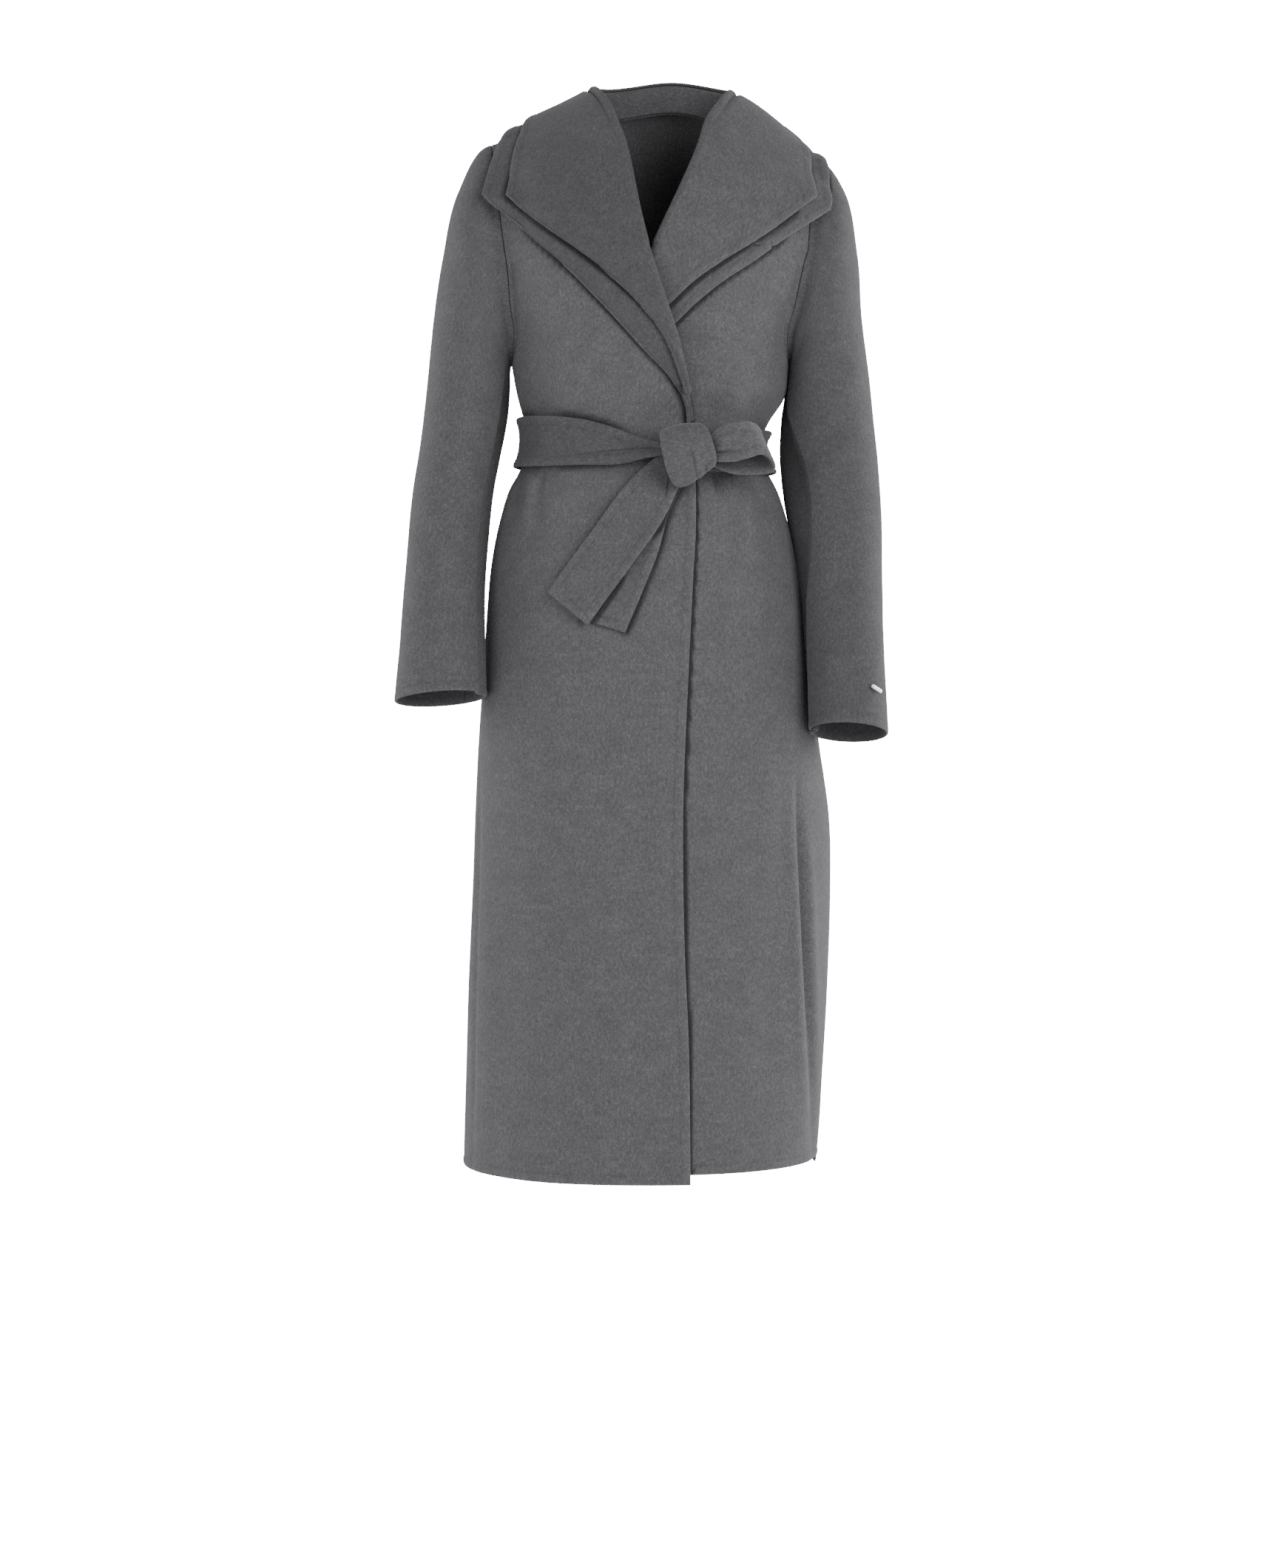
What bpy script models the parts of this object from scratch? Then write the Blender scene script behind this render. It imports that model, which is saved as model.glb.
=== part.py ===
"""Wrap coat with a doubled shawl collar and a tie belt, in its worn form and hollow.

+X is the wearer's left, -Y the front and +Z up. The origin lies at the neck base between the shoulders.
Lengths below are millimetres unless a name says otherwise, and they become metres when an object is made.
"""

import bpy
import numpy as np
from mathutils import Vector
from mathutils.bvhtree import BVHTree

MM = 0.001
CLOTH = 2.6  # double-faced wool
BELT_CLOTH = 4.4  # two layers of the same wool, pressed flat
SEAM = 0.3  # between two pieces that are sewn together
TINY = 1e-6
ROUND = 0.9  # exponent of the body's rings: 1 is an ellipse, less is squarer
CROWN = 1.0  # exponent of the rise from bust line to shoulder: 1 is an ellipse

MIDDLE_X = -4.0  # the centre line of the rings
BODY_REACH = {-1: 190.0, 1: 180.0}  # usual half widths, which set the way that folds stand out
CORE = (0.0, 0.0, -250.0)  # a point inside the body
BUST_Z = -160.0  # above it the panels close to the shoulders
UNDERARM_Z = -284.0
HEM_Z = -1193.0
UNDER_HEM_Z = -1183.0  # the under front hangs a little shorter
ARM_MID_Y, ARM_HALF_Y = 2.0, 66.0
SHOULDER_Y = 6.0
NECK_AXIS = (12.0, 8.0)
NECK_BACK_Y = 62.0
SHOULDER_PLACE = 0.93  # q of the shoulder points
NAPE = 0.32  # q within which the line of the shoulders is rounded over the back of the neck
LAYER = 5.0  # one layer of the lapels over the next

# A row is one ring of the body: height, wearer's right side, left side, front and back.
RINGS = (
    # z, right side, left side, front, back
    (-1193, -216, 184, -150, 150),
    (-1117, -214, 189, -149, 149),
    (-1000, -210, 196, -147, 147),
    (-880, -205, 200, -145, 145),
    (-800, -203, 199, -143, 144),
    (-711, -199, 187, -140, 142),
    (-626, -193, 175, -136, 139),
    (-560, -189, 167, -132, 136),
    (-515, -185, 161, -128, 132),
    (-457, -174, 150, -120, 123),
    (-425, -164, 139, -113, 111),
    (-402, -151, 127, -106, 102),
    (-372, -146, 121, -105, 101),
    (-348, -147, 128, -107, 102),
    (-321, -154, 143, -114, 110),
    (-284, -158, 150, -117, 116),
    (-250, -166, 159, -117, 119),
    (-222, -177, 174, -117, 121),
    (-160, -193, 200, -115, 121),
)
# The shoulder points and the neck points, where the shoulder seams end.
SHOULDER = {-1: (-185.0, -31.0), 1: (181.0, -44.0)}
NECK = {-1: (-58.0, 1.5), 1: (82.0, -2.0)}

# Each row is a soft fold: side of the coat, place across it, half width, upper end, lower end, height.
FOLDS = (
    # side, q, half width, top z, bottom z, height (below 0 is a trough)
    ("front", -0.93, 0.05, -404, -520, -3.0),
    ("front", -0.84, 0.05, -404, -500, 2.5),
    ("front", -0.74, 0.06, -404, -540, -3.0),
    ("front", 0.56, 0.07, -410, -540, -4.5),
    ("front", 0.70, 0.06, -404, -520, 3.0),
    ("front", 0.82, 0.06, -404, -540, -3.5),
    ("front", 0.62, 0.14, -280, -352, 5.0),
    ("front", -0.60, 0.14, -290, -350, 3.0),
    ("front", 0.84, 0.10, -800, -1260, 4.0),
    ("front", -0.92, 0.06, -800, -1260, 2.5),
    ("back", -0.70, 0.09, -404, -620, -5.0),
    ("back", -0.42, 0.09, -404, -560, 3.5),
    ("back", -0.16, 0.08, -404, -660, -5.0),
    ("back", 0.12, 0.08, -404, -540, 3.0),
    ("back", 0.38, 0.09, -404, -640, -5.5),
    ("back", 0.66, 0.09, -404, -600, 3.5),
    ("back", -0.50, 0.20, -270, -350, 5.0),
    ("back", 0.45, 0.20, -275, -350, 6.0),
    ("back", -0.45, 0.16, -760, -1400, -6.0),
    ("back", 0.35, 0.16, -820, -1400, -7.0),
    ("back", 0.75, 0.10, -800, -1350, 4.0),
)

# The front edges: height and x. Above the crossing they are the roll lines of the lapels.
OUTER_EDGE = (
    # z, x
    (-1193, 38.5),
    (-1035, 36.5),
    (-942, 32.6),
    (-788, 31.0),
    (-622, 37.5),
    (-535, 41.7),
    (-469, 45.0),
    (-421, 44.5),
    (-341, 36.0),
    (-290, 28.0),
    (-210, 6.5),
    (-163, -9.0),
)
UNDER_EDGE = (
    # z, x
    (-1193, -80.0),
    (-700, -82.0),
    (-457, -85.0),
    (-341, -62.0),
    (-250, -27.0),
    (-163, 6.0),
)
# How far the outer front stands off the under one, which carries its own lapel near the crossing.
STAND_OFF = (
    # z, distance
    (-1193, 5.2),
    (-420, 5.2),
    (-350, 6.2),
    (-310, 10.0),
    (-265, 16.5),
    (-225, 19.0),
    (-195, 18.0),
    (-150, 14.0),
    (-90, 5.0),
    (-40, 0.0),
    (20, 0.0),
)
STAND_OFF_START, STAND_OFF_RAMP = -0.86, 0.34  # q where it begins, and how far on it is whole

# Sleeve rings, from the cap down: the outer point, the inner point, the middle and half depth, and how
# much higher the front is than the middle.
SLEEVE_RINGS = {
    -1: (
        # outer x, outer z, inner x, inner z, middle y, half depth, front lift
        (-222, -86, -165.5, -291, 2, 67, 0),
        (-240, -160, -165.5, -304, 3, 66, 0),
        (-251, -230, -166.5, -324, 3, 64, 0),
        (-258, -306, -169.5, -350, 2, 61, 1),
        (-265.5, -372, -176, -388, -3, 58, 2),
        (-272.5, -423, -184.5, -433, -12, 56, 4),
        (-278, -491, -190.5, -499, -28, 53, 6),
        (-281.5, -541, -191.5, -547, -40, 51, 7),
        (-285, -609, -190, -611, -56, 49, 8),
        (-289, -667, -188, -659, -67, 47, 9),
    ),
    1: (
        # outer x, outer z, inner x, inner z, middle y, half depth, front lift
        (217, -86, 156.5, -291, 2, 67, 0),
        (232, -160, 156, -304, 3, 66, 0),
        (236, -230, 155, -324, 3, 64, 0),
        (246, -306, 150, -352, 2, 61, 1),
        (252.5, -372, 146.5, -392, -4, 59, 2),
        (255.5, -423, 148.5, -438, -14, 57, 4),
        (257, -491, 160, -503, -30, 54, 6),
        (257, -541, 167, -550, -42, 52, 7),
        (257, -609, 173, -616, -61, 50, 8),
        (260, -703, 173.5, -698, -79, 48, 12),
    ),
}
UNDER_SLEEVE = {-1: (144.0, 240.0), 1: (124.0, 240.0)}  # degrees from the outer line to its two seams
SEAM_TURN = 0.3  # degrees left open beside a sleeve's seam
CAP_GAP = 0.5  # between the armhole's edge and the sleeve
CAP_LEAD = (5.0, 4.0)  # how far a sleeve runs straight on from the armhole, and how much more at its top
CAP_AIM = (0.1, -0.35)  # how the sleeve's start slopes under the arm and at its top

# The free edges of the collar layers: the share of the roll line from its foot, and the edge there.
# A y of None lies on the front. Names: "low" is the larger layer, "top" the smaller one over it.
COLLAR_EDGES = {
    (-1, "low"): (
        # share, x, y, z
        (0.00, 36.0, None, -352.0),
        (0.05, 27.0, None, -330.0),
        (0.12, 4.5, None, -285.0),
        (0.20, -33.0, None, -243.5),
        (0.28, -80.0, None, -200.0),
        (0.36, -127.0, None, -156.0),
        (0.45, -194.0, -62.0, -95.0),
        (0.56, -191.0, -38.0, -60.0),
        (0.66, -184.0, -6.0, -30.5),
        (0.76, -161.0, 34.0, -14.0),
        (0.86, -125.0, 88.0, -30.0),
        (0.94, -62.0, 120.0, -52.0),
        (1.00, 2.0, 128.0, -62.0),
    ),
    (-1, "top"): (
        # share, x, y, z
        (0.06, 34.0, None, -300.0),
        (0.12, 27.0, None, -272.0),
        (0.20, 2.0, None, -232.0),
        (0.28, -42.0, None, -188.0),
        (0.36, -100.0, None, -145.0),
        (0.45, -165.5, -80.0, -99.0),
        (0.56, -159.0, -44.0, -56.0),
        (0.66, -150.0, -14.0, -22.0),
        (0.76, -131.0, 24.0, -4.0),
        (0.86, -103.0, 74.0, -12.0),
        (0.94, -54.0, 108.0, -30.0),
        (1.00, 4.0, 116.0, -38.0),
    ),
    (1, "low"): (
        # share, x, y, z
        (0.00, -6.0, None, -268.0),
        (0.10, 23.0, None, -246.0),
        (0.24, 96.0, None, -191.0),
        (0.36, 148.0, None, -150.0),
        (0.45, 199.0, -62.0, -111.0),
        (0.56, 194.0, -38.0, -78.0),
        (0.66, 177.0, -6.0, -40.0),
        (0.76, 162.0, 34.0, -11.0),
        (0.86, 132.0, 88.0, -30.0),
        (0.94, 76.0, 120.0, -54.0),
        (1.00, 3.0, 128.0, -62.0),
    ),
    (1, "top"): (
        # share, x, y, z
        (0.00, -8.0, None, -244.0),
        (0.10, 17.0, None, -224.0),
        (0.24, 80.0, None, -172.0),
        (0.36, 130.0, None, -135.0),
        (0.45, 182.0, -80.0, -98.0),
        (0.56, 172.0, -44.0, -60.0),
        (0.66, 162.0, -14.0, -28.0),
        (0.76, 142.0, 24.0, -8.0),
        (0.86, 114.0, 74.0, -14.0),
        (0.94, 66.0, 108.0, -32.0),
        (1.00, 5.0, 116.0, -38.0),
    ),
}
STAND = ((0.0, 0.0), (0.42, 0.0), (0.62, 10.0), (0.78, 22.0), (1.0, 26.0))  # share, height of the stand
COLLAR_FOOT_Z = {-1: -345.0, 1: -205.0}
UPRIGHT = 16.0  # the stand's height from which the collar rises straight from its seam
LEVEL_FROM = 0.8  # share from which both halves turn to meet at the centre back
LEAN = 0.12  # how far the stand leans out, as a share of its height
DROOP = 0.4  # how early a layer's fall turns down, as a share of its length

# The belt: place round the waist in turns from the knot, its upper and lower edge and how far out.
BELT_ROWS = (
    # degrees from the front, clockwise from above; top z, bottom z, out
    (-2, -381, -395, 33),
    (8, -377, -398.5, 20.5),
    (22, -365, -404, 13.5),
    (38, -354, -404, 12),
    (60, -347, -403, 9),
    (90, -344, -400, 5.6),
    (135, -347, -402, 5.4),
    (180, -351, -405, 5.4),
    (225, -355, -406, 5.4),
    (270, -359, -407, 5.2),
    (300, -361, -409, 8),
    (325, -363, -411, 10.5),
    (338, -364, -411, 11.5),
)
BELT_Z = -380.0  # the middle of the belt
BELT_REACH = 8.0  # how far up and down the waist bears on a point of the belt
BLOUSE_SKEW, GATHER_SKEW = 1.3, 0.6  # folds above the belt are fullest low down, those below it high up
BELT_MIDDLE = (8.0, 0.0)  # the axis that the belt's turns are counted round

# The knot, a band drawn round the crossing: rows go round it in the plane of y and z.
FOLDED_CLOTH = 3.5  # the knot and the loop, whose layers are pulled tight
KNOT_SWELL = 3.0  # how far the knot's middle stands over its ends
KNOT_ROWS = (
    # left x, left z, right x, right z, y
    (14, -374, 50, -369, -136),
    (9, -370, 49, -363, -150),
    (7, -375, 54, -367, -161),
    (9, -387, 61, -382, -167),
    (11.5, -398, 66, -397, -167),
    (15, -413, 65, -408, -162),
    (22, -427, 57, -415, -153),
    (27, -428, 46, -418, -142),
    (22, -410, 52, -410, -136),
    (16, -390, 58, -388, -135),
)
LOOP_ROWS = (
    # top x, top z, bottom x, bottom z, top y, bottom y
    (46, -381, 46, -400, -153, -153),
    (58, -376, 60, -403, -155, -156),
    (70, -367, 72, -404.5, -159, -160),
    (84, -361.5, 87, -404, -160, -162),
    (98, -359.5, 103, -400, -156, -160),
    (108, -360.5, 116, -396, -147, -155),
    (113.5, -364, 126, -400, -135, -148),
    (114.5, -367, 132, -409, -123, -137),
    (108, -369, 126, -415, -113, -131),
    (92, -371, 103, -416.5, -112, -130),
    (78, -372, 86, -415.5, -120, -134),
    (64, -375, 68, -410, -133, -140),
    (57, -380, 58, -405, -141, -141),
    (46, -383, 46, -401, -142, -142),
)
TAIL_ROWS = {
    # left x, left z, right x, right z, out from the coat
    "belt_tail_front": (
        (14, -384, 40, -408, 17),
        (2, -396, 33, -421, 14.5),
        (-14, -410, 25, -434, 12.5),
        (-37.8, -435.4, 16, -454, 12),
        (-60, -466.5, 3, -477, 12),
        (-84.9, -500.3, -20, -510, 11.5),
        (-106, -529, -50, -550, 11),
        (-117, -545.5, -73, -582, 10.5),
    ),
    "belt_tail_back": (
        (24, -402, 48, -408, 9),
        (8, -424, 30, -430, 7),
        (-12, -460, 15, -462, 6),
        (-32, -500, 4.5, -500.5, 5.5),
        (-56, -541, -10, -538, 5.5),
        (-80, -575, -32, -590, 5.5),
    ),
}

SIDE_COLUMNS, NECK_COLUMNS = 5, 7  # of the back panel, beside the neck points and to its middle
BAR = (17.6, 4.4, 1.6)  # length, width, thickness of the metal bar on the cuff
BAR_Z, BAR_ANGLE, BAR_TURN = -651.5, 47.0, 22.5  # height, degrees round the sleeve, slant
BAR_GAP = 0.9  # between the sleeve and the bar's flat back
BAR_BEVEL = 0.5

SKIRT_Z = (-1090, -960, -830, -720, -630, -555, -495)
WAIST_Z = (-450, -424, -403, -387, -371, -355, -340, -320, -301)
UNDERARM_TURNS = (89.0, 68.0, 48.0, 30.0, 13.0)  # degrees below the bust line on the armhole
CROWN_TURNS = (0.0, 16.0, 32.0, 46.0, 58.0, 69.0, 79.0, 87.0, 90.0)


def column(table, index):
    """One column of a table of rows."""
    return np.array([row[index] for row in table], float)


def smooth(xs, ys, at):
    """A cubic through the rows (xs, ys) with slopes from their neighbours, read at each place of at."""
    xs, ys = np.asarray(xs, float), np.asarray(ys, float)
    order = np.argsort(xs)
    xs, ys = xs[order], ys[order]
    slopes = np.gradient(ys, xs, axis=0)
    at = np.clip(np.asarray(at, float), xs[0], xs[-1])
    cell = np.clip(np.searchsorted(xs, at) - 1, 0, len(xs) - 2)
    step = xs[cell + 1] - xs[cell]
    t = (at - xs[cell]) / step
    spread = t.shape + (1,) * (ys.ndim - 1)
    t, step = t.reshape(spread), step.reshape(spread)
    low, high = ys[cell], ys[cell + 1]
    bend = t * t * (3 - 2 * t)
    start = (t**3 - 2 * t**2 + t) * step * slopes[cell]
    end = (t**3 - t**2) * step * slopes[cell + 1]
    return low + (high - low) * bend + start + end


def ease(value):
    """0 to 1 with level ends."""
    value = np.clip(value, 0.0, 1.0)
    return value * value * (3 - 2 * value)


def ring_value(index, z):
    """One measure of the body's ring at a height."""
    return smooth(column(RINGS, 0), column(RINGS, index), np.minimum(z, BUST_Z))


def rise(q, z):
    """The share of the way from the bust line to the shoulder line that a height is, at a place q across."""
    return np.clip((z - BUST_Z) / (top_z(q) - BUST_Z), 0.0, 1.0)


def top_z(q):
    """The shoulder line's height at a place q across, -1 and 1 being the shoulder points."""
    q = np.asarray(q, float)
    away = np.where(np.abs(q) < NAPE, (NAPE + q * q / NAPE) / 2, np.abs(q))
    heights = []
    for side in (-1, 1):
        neck_q = neck_place(side)
        shoulder_z, neck_z = SHOULDER[side][1], NECK[side][1]
        way = (SHOULDER_PLACE - away) / (SHOULDER_PLACE - neck_q)
        heights.append(shoulder_z + (neck_z - shoulder_z) * way)
    blend = ease(q / 0.5 + 0.5)
    return heights[0] * (1 - blend) + heights[1] * blend


def neck_place(side):
    """The size of q at the neck point."""
    return SHOULDER_PLACE * (NECK[side][0] - MIDDLE_X) / (SHOULDER[side][0] - MIDDLE_X)


def arm_place(name, z, share):
    """The size of q where the armhole lies at a row: a half circle below the bust line, straight above."""
    if share is not None:
        return arm_place(name, BUST_Z, None) * (1 - share) + SHOULDER_PLACE * share
    if z <= UNDERARM_Z:
        return 1.0
    below = min((BUST_Z - z) / (BUST_Z - UNDERARM_Z), 1.0)
    deep = abs(float(ring_value(3 if name == "front" else 4, z)) - ARM_MID_Y)
    return float((1 - (ARM_HALF_Y * np.sqrt(1 - below**2) / deep) ** (2 / ROUND)) ** (ROUND / 2))


def half_width(side, z, share):
    """The ring's reach to one side, which goes over to the shoulder point above the bust line."""
    reach = ring_value(1 if side < 0 else 2, z) - MIDDLE_X
    return reach * (1 - share) + (SHOULDER[side][0] - MIDDLE_X) / SHOULDER_PLACE * share


def neck_middle():
    """q in the middle between the neck points."""
    return (neck_place(1) - neck_place(-1)) / 2


def bulge(q):
    """The ring's depth at q, as a share of its depth in the middle."""
    return np.maximum(1 - np.abs(q) ** (2 / ROUND), 0.0) ** (ROUND / 2)


def fold_height(name, q, z):
    """The folds' total rise at a place: rows of FOLDS, each a soft wave that fades along its length."""
    total = np.zeros(np.broadcast(q, z).shape)
    for side, place, half, top, bottom, height in FOLDS:
        if side != name:
            continue
        across = np.exp(-(((q - place) / half) ** 2))
        along = np.clip((top - z) / (top - bottom), 0.0, 1.0)
        skew = BLOUSE_SKEW if top > BELT_Z else GATHER_SKEW
        total = total + height * across * np.sin(np.pi * along**skew) ** 2
    return total


def body(name, q, z):
    """Points of the front or back of the body at the place q across and the height z.

    A ring is x = middle + reach q, y = side + (depth - side) (1 - |q|^(2/e))^(e/2). Above the bust line the
    depth closes to the shoulder line by (1 - g^(2/p))^(p/2), g being the share of the rise. The back's upper
    edge between the neck points is half an ellipse round the neck.
    """
    q, z = np.broadcast_arrays(np.asarray(q, float), np.asarray(z, float))
    share = rise(q, z)
    right, left = half_width(-1, z, share), half_width(1, z, share)
    x = MIDDLE_X + np.where(q < 0, -right, left) * q
    deep = ring_value(3 if name == "front" else 4, z)
    y = ARM_MID_Y + (deep - ARM_MID_Y) * bulge(q)
    closing = (1 - share ** (2 / CROWN)) ** (CROWN / 2)
    rest = np.full(q.shape, SHOULDER_Y)
    if name == "back":
        across = (q - neck_middle()) / (neck_place(1) - neck_middle())
        rest = rest + (NECK_BACK_Y - SHOULDER_Y) * np.sqrt(np.clip(1 - across**2, 0.0, 1.0))
    y = rest + (y - rest) * closing
    points = np.stack([x, y, z], axis=-1)
    out = outward(points, name)
    return points + out * fold_height(name, q, z)[..., None]


def outward(points, name):
    """The level direction away from the body's middle, for points of a ring."""
    deep = np.abs(ring_value(3 if name == "front" else 4, points[..., 2]))
    reach = np.where(points[..., 0] < MIDDLE_X, BODY_REACH[-1], BODY_REACH[1])
    flat = np.stack(
        [
            (points[..., 0] - MIDDLE_X) / reach**2,
            points[..., 1] / deep**2,
            np.zeros(points.shape[:-1]),
        ],
        axis=-1,
    )
    return flat / np.maximum(np.linalg.norm(flat, axis=-1, keepdims=True), TINY)


def place_of(x, z, share=0.0):
    """q for an x, the ring's reach being known."""
    side = np.where(x < MIDDLE_X, -1, 1)
    reach = np.where(
        side < 0, half_width(-1, z, share), half_width(1, z, share)
    )
    return side * np.abs((x - MIDDLE_X) / reach)


def turn_of(q):
    """The even parameter along a ring for a place q, -1 to 1."""
    return np.sign(q) * np.arcsin(np.abs(q) ** (1 / ROUND)) * 2 / np.pi


def place_at(turn):
    """The place q for the even parameter along a ring."""
    return np.sign(turn) * np.sin(np.abs(turn) * np.pi / 2) ** ROUND


def spaced(start, end, count, edge=0.25):
    """count + 1 places from start to end, with the first and last step made shorter."""
    steps = np.ones(count)
    steps[0] = steps[-1] = edge
    places = np.concatenate([[0.0], np.cumsum(steps)]) / steps.sum()
    return start + (end - start) * places


def panel_rows(hem):
    """The rows of a body panel, as (height, share of the rise) with one of them None."""
    rows = [(hem, None), (hem + 12.0, None)]
    rows += [(float(z), None) for z in SKIRT_Z + WAIST_Z]
    drop = BUST_Z - UNDERARM_Z
    rows += [(BUST_Z - drop * np.sin(np.radians(turn)), None) for turn in UNDERARM_TURNS]
    rows += [(None, np.sin(np.radians(turn)) ** CROWN) for turn in CROWN_TURNS]
    return rows


def panel_row(name, row, turns):
    """One row of a panel at the given turns."""
    z, share = row
    q = place_at(turns)
    if share is not None:
        z = BUST_Z + (top_z(q) - BUST_Z) * share
    return trimmed(body(name, q, z))


def trimmed(points):
    """A row with both ends drawn in by half a seam's gap."""
    points = points.copy()
    for end, inner in ((0, 1), (-1, -2)):
        step = points[inner] - points[end]
        points[end] += step / max(np.linalg.norm(step), TINY) * SEAM / 2
    return points


def edge_turn(table, side):
    """The turn where a front's edge lies at a row: below the crossing from its table, above on the roll line."""

    def find(z, share):
        if share is None:
            x = smooth(column(table, 0), column(table, 1), z)
            return turn_of(place_of(x, z))
        start_q = float(place_of(table[-1][1], BUST_Z))
        reach = half_width(side, BUST_Z, share)
        foot = start_q * half_width(-1 if start_q < 0 else 1, BUST_Z, 0.0) * np.sign(start_q)
        out = foot * (1 - share) + (NECK[side][0] - MIDDLE_X) * share
        return float(turn_of(out / abs(reach)))

    return find


def arm_turn(name, side, z, share):
    """The turn where a panel ends at one side of a row: its side seam, and above that its armhole."""
    return float(turn_of(side * arm_place(name, z, share)))


def stand_off(points):
    """The outer front moved off the under one, by nothing at its side seam."""
    q = place_of(points[..., 0], points[..., 2], 0.0)
    by = smooth(column(STAND_OFF, 0), column(STAND_OFF, 1), points[..., 2])
    ramp = ease((q - STAND_OFF_START) / STAND_OFF_RAMP)
    return points + outward(points, "front") * (by * ramp)[..., None]


def front_panel(side, count):
    """The grid of one front, from its side seam to its front edge."""
    table = OUTER_EDGE if side < 0 else UNDER_EDGE
    hem = HEM_Z if side < 0 else UNDER_HEM_Z
    grid = []
    find_edge = edge_turn(table, side)
    for row in panel_rows(hem):
        turns = spaced(arm_turn("front", side, *row), find_edge(*row), count)
        grid.append(panel_row("front", row, turns))
    grid = np.array(grid)
    grid[-1] = shoulder_gap(grid[-1], grid[-2])
    return stand_off(grid) if side < 0 else grid


def back_panel(side_count, neck_count):
    """The grid of the back, from the wearer's right side seam to the left one, with columns at the neck points."""
    grid = []
    half = neck_place(1) - neck_middle()
    across = neck_middle() - half * np.cos(np.linspace(0, np.pi, 2 * neck_count + 1))
    neck = turn_of(across)
    for row in panel_rows(HEM_Z):
        right = spaced(arm_turn("back", -1, *row), neck[0], side_count)
        left = spaced(neck[-1], arm_turn("back", 1, *row), side_count)
        grid.append(panel_row("back", row, np.concatenate([right[:-1], neck, left[1:]])))
    grid = np.array(grid)
    grid[-1] = shoulder_gap(grid[-1], grid[-2])
    return grid


def shoulder_gap(last, before):
    """The top row drawn back by half a seam's gap."""
    step = before - last
    return last + step / np.linalg.norm(step, axis=-1, keepdims=True) * SEAM / 2


def arm_edge(side, front, back):
    """The armhole as the panels' own edge points, with the degrees of each: 0 at the shoulder, 90 in front."""
    turns, points = [], []
    rows = panel_rows(HEM_Z)
    for grid, column_at, sign in ((front, 0, 1), (back, 0 if side < 0 else -1, -1)):
        half = []
        for index, (z, share) in enumerate(rows):
            if share is None and z < UNDERARM_Z:
                continue
            up = share ** (1 / CROWN) if share is not None else (z - BUST_Z) / (BUST_Z - UNDERARM_Z)
            half.append((sign * np.degrees(np.arccos(np.clip(up, -1, 1))), grid[index, column_at]))
        if sign > 0:
            half.reverse()
        for turn, point in half:
            turns.append(turn if sign > 0 else 360 + turn)
            points.append(point)
    return np.array(turns), np.array(points)


def arm_loop(side, turns, edge):
    """Points of the armhole at the given degrees, and the way that the body's cloth leaves there."""
    points, leaving = [], []
    for turn in np.atleast_1d(turns):
        turn = turn % 360
        angle = np.radians(turn)
        name = "front" if angle <= np.pi else "back"
        up = np.cos(angle)
        if up >= 0:
            share = up**CROWN
            q = side * arm_place(name, BUST_Z, share)
            here = body(name, q, BUST_Z + (top_z(q) - BUST_Z) * share)
            q = q * 0.96
            away = here - body(name, q, BUST_Z + (top_z(q) - BUST_Z) * share)
        else:
            z = BUST_Z + (BUST_Z - UNDERARM_Z) * up
            q = side * arm_place(name, z, None)
            here = body(name, q, z)
            inside = body(name, q * 0.96, z)
            below = body(name, q, z - 10.0)
            across = (here - inside) / np.linalg.norm(here - inside)
            away = across * (1 + up) + (here - below) / np.linalg.norm(here - below) * -up
        points.append([np.interp(turn, edge[0], edge[1][:, i]) for i in range(3)])
        leaving.append(away / np.linalg.norm(away))
    return np.array(points), np.array(leaving)


def sleeve(side, turns, lengths, edge):
    """The grid of a sleeve's shell at the given degrees round it and the places along it, 0 to 1."""
    table = SLEEVE_RINGS[side]
    seam, away = arm_loop(side, turns, edge)
    angle = np.radians(np.asarray(turns, float))
    upper, lower = np.clip(np.cos(angle), 0, 1), np.clip(-np.cos(angle), 0, 1)
    slope = CAP_AIM[0] * lower + CAP_AIM[1] * upper
    aim = np.stack([side + 0 * angle, 0 * angle, slope], axis=1)
    aim = aim / np.linalg.norm(aim, axis=1, keepdims=True)
    across = np.sqrt(np.clip(1 - (away * aim).sum(axis=1) ** 2, 0.0, 1.0))
    start = seam + away * (CAP_GAP + CLOTH / 2 * across)[:, None]
    lead = aim * (CAP_LEAD[0] + CAP_LEAD[1] * upper)[:, None]
    rings = [start, start + lead]
    for outer_x, outer_z, inner_x, inner_z, mid_y, half, lift in table:
        middle = np.array([(outer_x + inner_x) / 2, mid_y, (outer_z + inner_z) / 2])
        reach = np.array([(outer_x - inner_x) / 2, 0.0, (outer_z - inner_z) / 2])
        depth = np.array([0.0, -half, lift])
        ring = middle + np.outer(np.cos(angle), reach) + np.outer(np.sin(angle), depth)
        rings.append(ring)
    rings = np.array(rings)
    steps = np.linalg.norm(np.diff(rings, axis=0), axis=2).mean(axis=1)
    places = np.concatenate([[0.0], np.cumsum(steps)]) / steps.sum()
    knots = np.linspace(0, 1, len(places))
    at = np.interp(lengths, knots, places)
    return smooth(places, rings, at)


def sleeve_lengths(count):
    """Places along a sleeve, the first rows close together at the cap and a narrow one at the cuff."""
    rings = len(SLEEVE_RINGS[-1]) + 1
    inner = np.linspace(1 / rings, 1.0, count)
    return np.concatenate([[0.0, 0.5 / rings], inner[:-1], [1 - 0.12 / rings], [1.0]])


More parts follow.
